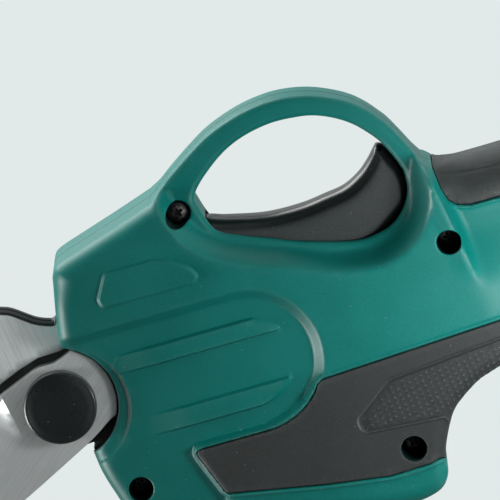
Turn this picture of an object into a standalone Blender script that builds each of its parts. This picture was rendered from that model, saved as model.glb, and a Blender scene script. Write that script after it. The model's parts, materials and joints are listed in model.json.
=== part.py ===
# Cordless pruning shears, standing upright on the battery with the blades up.
# +Z runs up from the battery to the blades, +X to the trigger side, and the
# two housing halves meet at y = 0. The origin is the centre of the battery's base.
# A point of the tool is (along, across): along from the blade pivot down to the
# battery, across from the pivot to the trigger side.

import math

import bmesh
import bpy
import numpy as np
from mathutils import Matrix, Vector
from mathutils.geometry import delaunay_2d_cdt

# General fits
GAP = 0.0003
WELD_REACH = 0.00002
WALL = 0.0030
TRACE_STEP = 0.0070
HOLLOW_STEP = 0.0120
GRID_STEP = 0.0150
EDGE_SHARES = (0.12, 0.45, 1.0)
NOSE_RADIUS = 0.0145

# Half thicknesses of the housing, from the parting plane
BODY_HALF = 0.0245
GUARD_HALF = 0.0120
HANDLE_HALF = 0.0185
SCOOP_WIDTH = 0.0088
RECESS_DEPTH = 0.0022
RECESS_RAMP = 0.0042
RECESS_LIP = 0.0018
RAISE = 0.0011
RIB_RAISE = 0.0013
RIB_FADE = 0.0160
RIB_TIP = 0.0028
RUBBER = 0.0020

# Edge radii of the housing
BODY_EDGE = 0.0048
HEAD_EDGE = 0.0072
GUARD_EDGE = 0.0023
PALM_EDGE = 0.0052
HANDLE_EDGE = 0.0130
FOOT_EDGE = 0.0070
SEAM_EDGE = 0.0015

# Battery and foot
BATTERY_LENGTH = 0.112
BATTERY_WIDTH = 0.074
BATTERY_HEIGHT = 0.038
BATTERY_WALL = 0.0025
UPPER_HEIGHT = 0.018
CELL_RADIUS = 0.0091
CELL_LENGTH = 0.065
CELL_COUNT = 5
CELL_PITCH = 0.0189
CELL_HEIGHT = 0.0125
RAIL_LENGTH = 0.080
RAIL_NECK = 0.044
RAIL_HEAD = 0.052
RAIL_LIP = 0.0046
RAIL_TOP = 0.0092
CONTACT_PITCH = 0.0060
CONTACT_THICK = 0.0010
CONTACT_LENGTH = 0.0160
CONTACT_RISE = 0.0045
PACK_BOARD = 0.0016
PACK_BOARD_HALF = 0.0240
FOOT_TOP = 0.190
FOOT_END = 0.208
FOOT_CENTRE = 0.014
FOOT_FLARE = 0.016

# Blade pivot
SHAFT_RADIUS = 0.0040
BLADE_THICK = 0.0040
SHEAR_DEPTH = 0.0140
EDGE_THICK = 0.0004
HUB_RADIUS = 0.0181
BITE_RADIUS = 0.0186
WASHER_RADIUS = 0.0095
WASHER_THICK = 0.0006
NUT_RADIUS = 0.0080
NUT_THICK = 0.0032
CAP_RADIUS = 0.0117
CAP_TOP = 0.0252
CAP_WALL = 0.0014

# Gears
BEVEL_MODULE = 0.00115
GEAR_TEETH = 30
PINION_TEETH = 10
BEVEL_FACE = 0.0055
BEVEL_SLACK = 0.00022
GEAR_BACK = 0.0094
GEAR_HUB = 0.0080
TRAIN_MODULE = 0.0007
SUN_TEETH = 12
PLANET_TEETH = 15
RING_TEETH = 42
TRAIN_SLACK = 0.00014
PLANET_LENGTH = 0.0072
PLANET_COUNT = 3
CARRIER_RADIUS = 0.0134
CARRIER_THICK = 0.0030
PIN_RADIUS = 0.0020
PINION_SHAFT = 0.0040
BEARING_RADIUS = 0.0110
BEARING_START = 0.0200
BEARING_LENGTH = 0.0050
RING_RADIUS = 0.0174
RING_START = 0.0270
RING_LENGTH = 0.0140
CASE_RADIUS = 0.0192
CASE_COLLAR = 0.0132
CASE_END = 0.0500
ARM_DEPTH = 0.0076
ARM_THICK = 0.0054
ARM_HALF = 0.0090

# Motor
MOTOR_RADIUS = 0.0178
MOTOR_LENGTH = 0.0360
MOTOR_WALL = 0.0016
STATOR_BORE = 0.0112
ROTOR_RADIUS = 0.0108
ROTOR_SHAFT = 0.0017
MOTOR_CAP = 0.0050
MOTOR_CAP_RADIUS = 0.0150

# Trigger
TRIGGER_HALF = 0.0092
TRIGGER_EDGE = 0.0030
TRIGGER_PIVOT = (0.0585, 0.0375)
TRIGGER_PIN = 0.0020
TRIGGER_TRAVEL = 8.0
SWITCH_START = 0.0970
SWITCH_END = 0.1100
SWITCH_LOW = -0.0040
SWITCH_HIGH = 0.0115
SWITCH_HALF = 0.0060
PLUNGER_ALONG = 0.1035
PLUNGER_RADIUS = 0.0022
PLUNGER_TOP = 0.0192
SPRING_ALONG = 0.1160
SPRING_RADIUS = 0.0032
SPRING_LOW = 0.0060
SPRING_TOP = 0.0216
SPRING_WIRE = 0.0007
SPRING_CURLS = 6

# Screws
SCREW_HEAD = 0.0034
SCREW_SHANK = 0.0014
SCREW_SEAT = 0.0080
SCREW_COVER = 0.0042
COUNTERBORE = 0.0040
BOSS_RADIUS = 0.0058
SCREW_BITE = 0.0070

# Electronics
BOARD_START = 0.1415
BOARD_END = 0.1755
BOARD_LOW = 0.0000
BOARD_HIGH = 0.0250
BOARD_HALF = 0.0008
SINK_DEPTH = 0.0060
TERMINAL_HALF = 0.0100
TERMINAL_LENGTH = 0.0220
TERMINAL_HEIGHT = 0.0070
BUTTON_RADIUS = 0.0050
BUTTON_ACROSS = -0.0270
BUTTON_DEPTH = 0.0068
BUTTON_TRAVEL = 0.0012
BUTTON_PROUD = 0.0016
LENS_RADIUS = 0.0016
LENS_ACROSS = -0.0185
LATCH_HALF = 0.0130
LATCH_HEIGHT = 0.0100
LATCH_PROUD = 0.0020
LATCH_TRAVEL = 0.0025
LATCH_DEPTH = 0.0070
LATCH_ROOM = 0.0110
SMALL_WIRE = 0.0005

BLADE_SWING = 48.0
BATTERY_SPLIT = BATTERY_HEIGHT - UPPER_HEIGHT
GRIP_END = FOOT_TOP - FOOT_FLARE - 0.001
PIVOT_Z = BATTERY_HEIGHT + GAP + FOOT_END
PIVOT_X = -FOOT_CENTRE
FOOT_HALF = BATTERY_WIDTH / 2
FOOT_FRONT = FOOT_CENTRE + BATTERY_LENGTH / 2 - 0.002
FOOT_BACK = FOOT_CENTRE - BATTERY_LENGTH / 2 + 0.002
MOVING_NEAR = SHEAR_DEPTH + GAP / 2 + BLADE_THICK
FIXED_FAR = SHEAR_DEPTH - GAP / 2 - BLADE_THICK
MOTOR_START = CASE_END + GAP
MOTOR_END = MOTOR_START + MOTOR_LENGTH
SCREWS = [(0.0531, 0.0487), (0.1341, 0.0176), (0.1052, -0.0437), (0.0174, -0.0329),
          (0.1830, 0.0050), (0.1985, -0.0330)]
BLADE_SCREWS = [(0.0250, 0.0245), (0.0265, -0.0225)]

# Outline runs of the housing: each run is a smooth curve, and runs meet at corners
FRONT = [(0.0095, -0.0342), (0.0063, -0.0215), (0.0050, 0.0), (0.0053, 0.0190), (0.0090, 0.0404)]
HEAD_TOP = [(0.0090, 0.0404), (0.0105, 0.0432), (0.0139, 0.0448), (0.0194, 0.0465),
            (0.0334, 0.0508), (0.0454, 0.0547)]
GUARD_OUTER = [(0.0454, 0.0547), (0.0481, 0.0565), (0.0536, 0.0607), (0.0618, 0.0661),
               (0.0684, 0.0699), (0.0754, 0.0726), (0.0822, 0.0744), (0.0896, 0.0753),
               (0.0958, 0.0751), (0.1026, 0.0738), (0.1090, 0.0714), (0.1152, 0.0680),
               (0.1196, 0.0643), (0.1230, 0.0603), (0.1261, 0.0558), (0.1325, 0.0430)]
FINGER_SIDE = [(0.1325, 0.0430), (0.1385, 0.0405), (0.1585, 0.0403),
               (FOOT_TOP - 0.014, 0.0410), (FOOT_TOP - 0.006, 0.0440), (FOOT_TOP - 0.002, 0.0500),
               (FOOT_TOP - 0.0005, 0.0560), (FOOT_TOP, FOOT_FRONT - 0.006)]
FOOT_NOSE = [(FOOT_TOP, FOOT_FRONT - 0.006), (FOOT_TOP + 0.0018, FOOT_FRONT - 0.0018),
             (FOOT_TOP + 0.006, FOOT_FRONT)]
FOOT_HEEL = [(FOOT_TOP + 0.006, FOOT_BACK), (FOOT_TOP + 0.0018, FOOT_BACK + 0.0018),
             (FOOT_TOP, FOOT_BACK + 0.006)]
PALM_SIDE = [(FOOT_TOP, FOOT_BACK + 0.026), (FOOT_TOP - 0.0025, -0.0095), (FOOT_TOP - 0.010, -0.0115),
             (FOOT_TOP - 0.020, -0.0140), (0.1550, -0.0195), (0.1395, -0.0259), (0.1316, -0.0285),
             (0.1260, -0.0318),
             (0.1215, -0.0353), (0.1181, -0.0402), (0.1146, -0.0480), (0.1136, -0.0545),
             (0.1108, -0.0588), (0.1056, -0.0608), (0.0992, -0.0612), (0.0880, -0.0600),
             (0.0670, -0.0562), (0.0450, -0.0508), (0.0200, -0.0445)]
CHIN = [(0.0200, -0.0445), (0.0146, -0.0430), (0.0115, -0.0395), (0.0095, -0.0342)]

# The guard's opening, and the trigger slot along its lower side
GUARD_INNER = [(0.0611, 0.0440), (0.0598, 0.0485), (0.0595, 0.0520), (0.0633, 0.0566),
               (0.0717, 0.0629), (0.0798, 0.0664), (0.0893, 0.0681), (0.0982, 0.0677),
               (0.1040, 0.0665), (0.1096, 0.0640), (0.1141, 0.0610), (0.1177, 0.0575),
               (0.1213, 0.0530), (0.1240, 0.0475), (0.1261, 0.0418)]
SLOT_LINE = [(0.1261, 0.0418), (0.1258, 0.0362), (0.1236, 0.0313), (0.1188, 0.0266),
             (0.1126, 0.0245), (0.1041, 0.0244), (0.0882, 0.0289), (0.0799, 0.0322),
             (0.0702, 0.0361), (0.0635, 0.0395), (0.0611, 0.0440)]
GUARD_ROOT = [(0.0454, 0.0547), (0.0540, 0.0470), (0.0611, 0.0440)]
GUARD_LEG = [(0.1261, 0.0418), (0.1290, 0.0425), (0.1325, 0.0430)]

# Full-thickness area of the body, and the shapes on its faces
PLATEAU = [(-0.030, -0.080), (-0.030, 0.080), (0.036, 0.080), (0.0450, 0.0560), (0.0535, 0.0380),
           (0.0600, 0.0322), (0.0690, 0.0275), (0.0800, 0.0235), (0.0880, 0.0205), (0.0960, 0.0175),
           (0.1035, 0.0158), (0.1110, 0.0152), (0.1175, 0.0164), (0.1235, 0.0194), (0.1285, 0.0240),
           (0.1318, 0.0300), (0.1342, 0.0400), (0.1450, 0.0600), (0.2500, 0.0900), (0.2500, -0.0900)]
PAD = [(0.0225, 0.0280), (0.0520, 0.0280), (0.0536, 0.0295), (0.0516, 0.0324), (0.0456, 0.0363),
       (0.0414, 0.0377), (0.0260, 0.0378), (0.0220, 0.0305)]
RECESS_END = (0.0624, -0.0025)
RECESS_RADIUS = 0.0200
RECESS_FLOOR = [(-0.0100, -0.0620), (0.0470, -0.0620), (0.0425, -0.0420), (0.0366, -0.0262),
                (0.0372, -0.0229), (0.0620, -0.0230), (0.0700, -0.0208), (0.0752, -0.0182)]
RIB_END = 0.0138
RIB_UPPER = [(0.0180, 0.0055), (0.0745, 0.0055), (0.0700, 0.0114), (0.0220, 0.0114)]
RIB_LOWER = [(0.0250, -0.0167), (0.0700, -0.0167), (0.0735, -0.0110), (0.0270, -0.0110)]
RIDGE_ALONG = 0.1332
RIDGE_ACROSS = 0.0433
RIDGE_SLOPE = 0.164
RIDGE_SHARP = 0.0036
RIDGE_BLEND = 0.0360

# Rubber areas
PALM_ARC = 0.0226
PALM_PAD = [(0.0833, -0.0139), (0.1438, -0.0111), (0.1600, -0.0060), (GRIP_END, -0.0010),
            (GRIP_END, -0.0900), (0.1142, -0.0900), (0.1142, -0.0488), (0.1084, -0.0499),
            (0.0954, -0.0502), (0.0750, -0.0472), (0.0433, -0.0412), (0.0370, -0.0251)]
FINGER_PAD = [(0.1352, 0.0600), (0.1352, 0.0430), (0.1364, 0.0340), (0.1376, 0.0298), (0.1398, 0.0277),
              (0.1440, 0.0265), (GRIP_END - 0.002, 0.0265), (GRIP_END, 0.0285), (GRIP_END, 0.0600)]

# Trigger and blades at rest, with the jaws open
TRIGGER_CROWN = [(0.0560, 0.0410), (0.0607, 0.0436), (0.0675, 0.0418), (0.0796, 0.0392),
                 (0.0910, 0.0388), (0.0998, 0.0398), (0.1061, 0.0408), (0.1116, 0.0435),
                 (0.1155, 0.0467), (0.1180, 0.0494), (0.1194, 0.0509)]
TRIGGER_TAIL = [(0.1194, 0.0509), (0.1210, 0.0507), (0.1240, 0.0470), (0.1264, 0.0420),
                (0.1268, 0.0360), (0.1248, 0.0300), (0.1180, 0.0250)]
TRIGGER_UNDER = [(0.1180, 0.0250), (0.1120, 0.0215), (0.1040, 0.0200), (0.0880, 0.0230),
                 (0.0750, 0.0285), (0.0660, 0.0320), (0.0575, 0.0325), (0.0540, 0.0360),
                 (0.0560, 0.0410)]
TRIGGER_POCKET = [(0.0520, 0.0440), (0.0575, 0.0445), (0.0620, 0.0480), (0.0900, 0.0440),
                  (0.1200, 0.0540), (0.1228, 0.0528), (0.1256, 0.0478), (0.1278, 0.0430),
                  (0.1283, 0.0360), (0.1270, 0.0265), (0.1250, 0.0200), (0.1190, 0.0130),
                  (0.1030, 0.0120), (0.0880, 0.0170),
                  (0.0700, 0.0240), (0.0520, 0.0300)]
CUTTING_EDGE = [(-0.0175, 0.0084), (-0.0300, 0.0036), (-0.0420, -0.0025), (-0.0540, -0.0110),
                (-0.0640, -0.0220), (-0.0690, -0.0310)]
BLADE_BACK = [(-0.0690, -0.0310), (-0.0660, -0.0338), (-0.0580, -0.0352), (-0.0450, -0.0345),
              (-0.0320, -0.0312), (-0.0189, -0.0261), (0.0052, -0.0143)]
HUB_NOTCH = [(0.0058, -0.0140), (0.0098, -0.0116), (0.0131, -0.0094), (0.0164, -0.0077)]
HUB_FRONT = [(0.0082, 0.0161), (0.0020, 0.0139), (-0.0037, 0.0137), (-0.0095, 0.0116),
             (-0.0175, 0.0084)]
BEVEL_HEEL = [(-0.0175, 0.0084), (-0.0146, -0.0070), (-0.0236, -0.0098), (-0.0360, -0.0152),
              (-0.0480, -0.0225), (-0.0580, -0.0300), (-0.0645, -0.0335)]
HOOK_OUTER = [(0.0047, 0.0268), (0.0, 0.0287), (-0.0065, 0.0334), (-0.0107, 0.0351),
              (-0.0220, 0.0392), (-0.0380, 0.0425), (-0.0540, 0.0418), (-0.0660, 0.0370),
              (-0.0740, 0.0285)]
HOOK_INNER = [(-0.0740, 0.0285), (-0.0725, 0.0262), (-0.0690, 0.0262), (-0.0590, 0.0288),
              (-0.0460, 0.0278), (-0.0350, 0.0232), (-0.0270, 0.0140), (-0.0220, 0.0030),
              (-0.0165, -0.0070), (-0.0100, -0.0125), (0.0, -0.0152), (0.0075, -0.0150)]
BLADE_SLOT = [(-0.0100, -0.0165), (0.0120, -0.0215), (0.0320, -0.0295), (0.0320, 0.0320),
              (-0.0100, 0.0420)]
HOOK_TANG = [(0.0075, -0.0150), (0.0130, -0.0200), (0.0200, -0.0255), (0.0260, -0.0280),
             (0.0310, -0.0260), (0.0315, -0.0205), (0.0285, -0.0177), (0.0225, -0.0168),
             (0.0195, -0.0135), (0.0188, 0.0130), (0.0225, 0.0172), (0.0300, 0.0185),
             (0.0310, 0.0260), (0.0270, 0.0305), (0.0140, 0.0300), (0.0047, 0.0268)]


# Placing points

def at(along, across, depth):
    return Vector((PIVOT_X + across, depth, PIVOT_Z - along))


def ease(value):
    value = np.clip(value, 0.0, 1.0)
    return value * value * (3.0 - 2.0 * value)


def smooth_run(points, step):
    # Catmull-Rom curve through the points, without its last point
    points = [Vector(p) for p in points]
    last = len(points) - 1
    result = []
    for i in range(last):
        before = points[max(i - 1, 0)]
        start = points[i]
        end = points[i + 1]
        after = points[min(i + 2, last)]
        count = max(1, round((end - start).length / step))
        for k in range(count):
            t = k / count
            even = 2 * start + (2 * before - 5 * start + 4 * end - after) * t * t
            odd = (end - before) * t + (3 * start - before - 3 * end + after) * t ** 3
            result.append((even + odd) / 2)
    return result


def loop_from(runs, step):
    result = []
    for run in runs:
        result += smooth_run(run, step)
    return np.array([tuple(p) for p in result])


def circle_loop(centre, radius, count, start=0.0, end=360.0):
    angles = np.radians(np.linspace(start, end, count, endpoint=end - start < 359.9))
    if end - start > 359.9:
        angles = np.radians(start + (end - start) * np.arange(count) / count)
    return np.stack([centre[0] + radius * np.cos(angles), centre[1] + radius * np.sin(angles)], 1)


def distance_to(points, loop, is_closed=True):
    ends = np.roll(loop, -1, 0) if is_closed else loop[1:]
    starts = loop if is_closed else loop[:-1]
    run = ends - starts
    offset = points[:, None, :] - starts[None, :, :]
    share = (offset * run).sum(2) / np.maximum((run * run).sum(1), 1e-18)
    nearest = offset - np.clip(share, 0, 1)[:, :, None] * run
    return np.sqrt((nearest ** 2).sum(2)).min(1)


def is_inside(points, loop):
    x, y = points[:, 0:1], points[:, 1:2]
    x0, y0 = loop[:, 0], loop[:, 1]
    x1, y1 = np.roll(x0, -1), np.roll(y0, -1)
    crosses = (y0 > y) != (y1 > y)
    rise = np.where(np.abs(y1 - y0) < 1e-15, 1e-15, y1 - y0)
    left = x < (x1 - x0) * (y - y0) / rise + x0
    return (crosses & left).sum(1) % 2 == 1


def outward_normals_at(run, loop):
    x, y = loop[:, 0], loop[:, 1]
    area = (x * np.roll(y, -1) - np.roll(x, -1) * y).sum()
    return np.stack([run[:, 1], -run[:, 0]], 1) * (1 if area > 0 else -1)


def outward_normals(loop):
    run = np.roll(loop, -1, 0) - np.roll(loop, 1, 0)
    run /= np.linalg.norm(run, axis=1)[:, None]
    return outward_normals_at(run, loop)


def shifted(loop, distance):
    # the loop moved out by a distance, without the points that it would fold over
    moved = loop + outward_normals(loop) * distance
    free = distance_to(moved, loop) > abs(distance) * 0.93
    return moved[free]


def spread_out(area, distance):
    # the area with each side moved out by a distance and its corners kept
    loop = np.array(area)
    before = loop - np.roll(loop, 1, 0)
    after = np.roll(loop, -1, 0) - loop
    before /= np.linalg.norm(before, axis=1)[:, None]
    after /= np.linalg.norm(after, axis=1)[:, None]
    along = before + after
    along /= np.linalg.norm(along, axis=1)[:, None]
    half_turn = np.maximum((along * after).sum(1), 0.4)
    return loop + outward_normals_at(along, loop) * (distance / half_turn)[:, None]


# Heights of the housing's faces

def is_in_area(points, loop, ramp):
    # one inside the loop, fading to zero over the ramp outside it
    away = np.where(is_inside(points, loop), 0.0, distance_to(points, loop))
    return 1.0 - ease(away / ramp)


def recess_loop():
    # round at the far end, with its lower side along the palm rubber
    centre = RECESS_END
    arc = [tuple(p) for p in circle_loop(centre, RECESS_RADIUS, 12, -38.0, 90.0)]
    return np.array(RECESS_FLOOR + arc + [(-0.010, centre[1] + RECESS_RADIUS)])


def recess_share(points):
    ramp = RECESS_LIP + (RECESS_RAMP - RECESS_LIP) * ease((points[:, 1] + 0.019) / 0.008)
    away = np.where(is_inside(points, recess_loop()), 0.0, distance_to(points, recess_loop()))
    return 1.0 - ease(away / ramp)


def rib_loop(rib):
    # the rib with its far end on the arc that both ribs share
    loop = []
    for along, across in rib:
        reach = across - RECESS_END[1]
        limit = RECESS_END[0] + math.sqrt(max(RIB_END ** 2 - reach ** 2, 0.0))
        loop.append((min(along, limit), across))
    return np.array(loop)


def rib_share(points, rib):
    # a slow rise at the rib's start and a quick fall at its tip
    reach = points[:, 1] - RECESS_END[1]
    limit = RECESS_END[0] + np.sqrt(np.maximum(RIB_END ** 2 - reach ** 2, 0.0))
    rise = ease((points[:, 0] - rib[0][0]) / RIB_FADE)
    fall = ease((limit + 0.0010 - points[:, 0]) / RIB_TIP)
    return is_in_area(points, rib_loop(rib), 0.0010) * rise * fall


def ridge_at(across):
    return RIDGE_ALONG + (RIDGE_ACROSS - across) * RIDGE_SLOPE


def handle_share(along, across):
    # a crest beside the guard, which fades into a long blend lower down
    past = along - ridge_at(across)
    step = np.clip(past / RIDGE_SHARP, 0.0, 1.0)
    sharp = 1.0 - (1.0 - step) ** 2 * (1.0 + 0.5 * step)
    soft = ease((past + 0.004) / RIDGE_BLEND)
    return soft + (sharp - soft) * ease((across + 0.001) / 0.022)


def half_thickness(points):
    along, across = points[:, 0], points[:, 1]
    body = is_in_area(points, np.array(PLATEAU), SCOOP_WIDTH)
    height = GUARD_HALF + (BODY_HALF - GUARD_HALF) * body
    height = height + (HANDLE_HALF - height) * handle_share(along, across)
    foot = ease((along - FOOT_TOP + FOOT_FLARE) / (FOOT_FLARE + 0.003))
    height = height + (FOOT_HALF - height) * foot
    height = height - RECESS_DEPTH * recess_share(points)
    height = height + RAISE * is_in_area(points, np.array(PAD), 0.0011)
    return height + RIB_RAISE * (rib_share(points, RIB_UPPER) + rib_share(points, RIB_LOWER))


def edge_radius(points):
    along, across = points[:, 0], points[:, 1]
    body = is_in_area(points, np.array(PLATEAU), SCOOP_WIDTH)
    head = BODY_EDGE + (HEAD_EDGE - BODY_EDGE) * ease((across - 0.030) / 0.010)
    radius = GUARD_EDGE + (head - GUARD_EDGE) * body
    palm = ease((along - 0.030) / 0.030) * ease((-0.020 - across) / 0.015)
    radius = radius + (PALM_EDGE - radius) * palm
    handle = ease((along - ridge_at(across) - 0.0010) / 0.0090)
    radius = radius + (HANDLE_EDGE - radius) * handle
    foot = ease((along - FOOT_TOP + FOOT_FLARE) / FOOT_FLARE)
    radius = radius + (FOOT_EDGE - radius) * foot
    seam = ease((along - FOOT_END + 0.010) / 0.008)
    return radius + (SEAM_EDGE - radius) * seam


# Making meshes

def material(name, colour, roughness, metallic):
    result = bpy.data.materials.new(name)
    result.use_nodes = True
    shader = result.node_tree.nodes["Principled BSDF"]
    shader.inputs["Base Color"].default_value = (*colour, 1.0)
    shader.inputs["Roughness"].default_value = roughness
    shader.inputs["Metallic"].default_value = metallic
    return result


GREEN = ((0.0, 0.10, 0.09), 0.45, 0.0)
RUBBER_BLACK = ((0.025, 0.028, 0.030), 0.75, 0.0)
PLASTIC_BLACK = ((0.02, 0.022, 0.024), 0.5, 0.0)
STEEL = ((0.55, 0.56, 0.56), 0.3, 1.0)
DARK_STEEL = ((0.12, 0.12, 0.13), 0.4, 1.0)
BRASS = ((0.7, 0.52, 0.24), 0.35, 1.0)
BOARD_GREEN = ((0.02, 0.16, 0.06), 0.5, 0.0)
CELL_BLUE = ((0.05, 0.16, 0.38), 0.45, 0.0)
LENS_CLEAR = ((0.35, 0.75, 0.45), 0.2, 0.0)


def finish_object(name, mesh, look):
    part = bpy.data.objects.new(name, mesh)
    bpy.context.collection.objects.link(part)
    if look:
        part.data.materials.append(material(name, *look))
    return part


def object_from(name, form, look):
    bmesh.ops.recalc_face_normals(form, faces=form.faces)
    mesh = bpy.data.meshes.new(name)
    form.to_mesh(mesh)
    form.free()
    return finish_object(name, mesh, look)


def make_cutter(part):
    part.hide_render = True
    part.display_type = "WIRE"
    return part


def combine(part, other, operation, solver="EXACT"):
    step = part.modifiers.new(operation.lower(), "BOOLEAN")
    step.operation = operation
    step.object = make_cutter(other)
    step.solver = solver
    return part


def cut(part, cutter, solver="EXACT"):
    return combine(part, cutter, "DIFFERENCE", solver)


def trim(part, cutter):
    # a cut in a many-faced shell, where the exact solver leaves open edges
    return combine(part, cutter, "DIFFERENCE", "MANIFOLD")


def tidy_edges(part):
    # closes the slivers that many cuts leave along a rim
    step = part.modifiers.new("weld", "WELD")
    step.merge_threshold = WELD_REACH
    return part


def join(part, other, solver="EXACT"):
    return combine(part, other, "UNION", solver)


def smooth_shade(part, degrees=35.0):
    part.data.shade_smooth()
    part.data.set_sharp_from_angle(angle=math.radians(degrees))
    return part


def triangles_between(points, chains, loops):
    # triangles inside the first loop and outside the others, keeping the chains as edges
    verts, edges, faces, origins, _, _ = delaunay_2d_cdt(
        [Vector(p) for p in points], chains, [], 0, 1e-7)
    flat = np.array([tuple(v) for v in verts])
    middles = np.array([flat[list(face)].mean(0) for face in faces])
    keep = is_inside(middles, loops[0])
    for hole in loops[1:]:
        keep &= ~is_inside(middles, hole)
    return flat, [faces[i] for i in range(len(faces)) if keep[i]], origins


def relief(name, loops, lines, top, base, side, look, edge=None, grid=GRID_STEP, shares=EDGE_SHARES):
    # A solid between a flat or shaped base and a shaped top, both depths measured
    # from the parting plane towards one side (-1 near, 1 far)
    loops = [np.asarray(loop, float) for loop in loops]
    rims = np.concatenate(loops)
    points = [tuple(p) for p in rims]
    chains = []
    start = 0
    for loop in loops:
        count = len(loop)
        chains += [(start + i, start + (i + 1) % count) for i in range(count)]
        start += count
    inner = []
    if edge is not None:
        for share in shares:
            for number, loop in enumerate(loops):
                inward = -outward_normals(loop) * (1 if number == 0 else -1)
                reach = edge(loop)[:, None] * share
                ring = loop + inward * reach
                clear = np.min([distance_to(ring, other) for other in loops], 0)
                inner.append(ring[clear > reach[:, 0] * 0.97])
    for line in lines:
        line = np.asarray(line, float)
        clear = np.min([distance_to(line, loop) for loop in loops], 0)
        inside = is_inside(line, loops[0]) & (clear > 0.0008)
        for hole in loops[1:]:
            inside &= ~is_inside(line, hole)
        for i in range(len(line) - 1):
            if inside[i] and inside[i + 1]:
                chains.append((len(points), len(points) + 1))
                points += [tuple(line[i]), tuple(line[i + 1])]
    low, high = loops[0].min(0), loops[0].max(0)
    xs = np.arange(low[0] + grid / 2, high[0], grid)
    ys = np.arange(low[1] + grid / 2, high[1], grid * 0.87)
    mesh_points = np.array([(x + (grid / 2 if k % 2 else 0), y)
                            for k, y in enumerate(ys) for x in xs] or [(9.0, 9.0)])
    clear = np.min([distance_to(mesh_points, loop) for loop in loops], 0)
    limit = grid * 0.5 + (edge(mesh_points) if edge is not None else 0.0)
    mesh_points = mesh_points[clear > limit]
    if lines and len(mesh_points):
        near = np.min([distance_to(mesh_points, np.asarray(line), False) for line in lines], 0)
        mesh_points = mesh_points[near > grid * 0.4]
    inner.append(mesh_points)
    for group in inner:
        keep = is_inside(group, loops[0]) if len(group) else []
        points += [tuple(p) for p, inside in zip(group, keep) if inside]

    flat, faces, origins = triangles_between(points, chains, loops)
    heights = top(flat)
    if edge is not None:
        clear = np.min([distance_to(flat, loop) for loop in loops], 0)
        radius = edge(flat)
        drop = radius - np.sqrt(np.maximum(radius ** 2 - (radius - np.minimum(clear, radius)) ** 2, 0))
        heights = heights - drop

    form = bmesh.new()
    upper = [form.verts.new(at(p[0], p[1], side * h)) for p, h in zip(flat, heights)]
    for face in faces:
        form.faces.new([upper[i] for i in face])
    if callable(base):
        depths = base(flat)
        lower = [form.verts.new(at(p[0], p[1], side * h)) for p, h in zip(flat, depths)]
        for face in faces:
            form.faces.new([lower[i] for i in reversed(face)])
        borders = [e for e in form.edges if e.is_boundary]
        index = {v: i for i, v in enumerate(upper)}
        pairs = [(e.verts[0], e.verts[1]) for e in borders if e.verts[0] in index]
        for one, two in pairs:
            form.faces.new([one, two, lower[index[two]], lower[index[one]]])
    else:
        rim_flat, rim_faces, _ = triangles_between([tuple(p) for p in rims],
                                                   chains[:len(rims)], loops)
        lower = [form.verts.new(at(p[0], p[1], side * base)) for p in rim_flat]
        for face in rim_faces:
            form.faces.new([lower[i] for i in reversed(face)])
        place = {(round(p[0], 7), round(p[1], 7)): v for p, v in zip(rim_flat, lower)}
        borders = [e for e in form.edges if e.is_boundary]
        under = set(lower)
        index = {v: i for i, v in enumerate(upper)}
        for e in borders:
            one, two = e.verts
            if one in under:
                continue
            first = place[tuple(round(c, 7) for c in flat[index[one]])]
            second = place[tuple(round(c, 7) for c in flat[index[two]])]
            form.faces.new([one, two, second, first])
    loose = [v for v in form.verts if not v.link_faces]
    bmesh.ops.delete(form, geom=loose, context="VERTS")
    return smooth_shade(object_from(name, form, look), 30.0)


def slab(name, loop, near, far, look):
    # an outline given as (along, across), extruded between two depths
    form = bmesh.new()
    face = form.faces.new([form.verts.new(at(p[0], p[1], near)) for p in loop])
    extruded = bmesh.ops.extrude_face_region(form, geom=[face])
    verts = [v for v in extruded["geom"] if isinstance(v, bmesh.types.BMVert)]
    bmesh.ops.translate(form, verts=verts, vec=(0, far - near, 0))
    return object_from(name, form, look)


def box(name, low, high, look):
    form = bmesh.new()
    bmesh.ops.create_cube(form, size=1.0)
    size = Vector(high) - Vector(low)
    middle = (Vector(high) + Vector(low)) / 2
    bmesh.ops.scale(form, verts=form.verts, vec=size)
    bmesh.ops.translate(form, verts=form.verts, vec=middle)
    return object_from(name, form, look)


def tool_box(name, along, across, depth, look):
    low = at(along[1], across[0], depth[0])
    high = at(along[0], across[1], depth[1])
    return box(name, low, high, look)


def rounded(part, width, segments=2, degrees=40.0):
    step = part.modifiers.new("soft edges", "BEVEL")
    step.width = width
    step.segments = segments
    step.limit_method = "ANGLE"
    step.angle_limit = math.radians(degrees)
    return smooth_shade(part)


def turned(name, profile, place, look, segments=32):
    # a profile of (radius, height) pairs turned about an axis and placed by a matrix
    form = bmesh.new()
    rings = []
    for radius, height in profile:
        if radius < 1e-6:
            rings.append([form.verts.new((0, 0, height))] * segments)
            continue
        ring = []
        for i in range(segments):
            angle = math.tau * i / segments
            ring.append(form.verts.new((radius * math.cos(angle), radius * math.sin(angle), height)))
        rings.append(ring)
    pairs = list(zip(rings, rings[1:]))
    if profile[0][0] > 1e-6:
        pairs.append((rings[-1], rings[0]))
    for low, high in pairs:
        for i in range(segments):
            k = (i + 1) % segments
            corners = [low[i], low[k], high[k], high[i]]
            corners = [v for n, v in enumerate(corners) if v not in corners[:n]]
            if len(corners) > 2:
                form.faces.new(corners)
    bmesh.ops.transform(form, matrix=place, verts=form.verts)
    return smooth_shade(object_from(name, form, look))


def across_axis(along, across):
    # local +Z runs from the parting plane to the near side
    spin = Matrix(((1, 0, 0), (0, 0, -1), (0, 1, 0)))
    return Matrix.Translation(at(along, across, 0)) @ spin.to_4x4()


def tool_axis(across=0.0, depth=0.0):
    # local +Z runs from the pivot to the battery
    spin = Matrix(((0, 1, 0), (1, 0, 0), (0, 0, -1)))
    return Matrix.Translation(at(0, across, depth)) @ spin.to_4x4()


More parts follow.
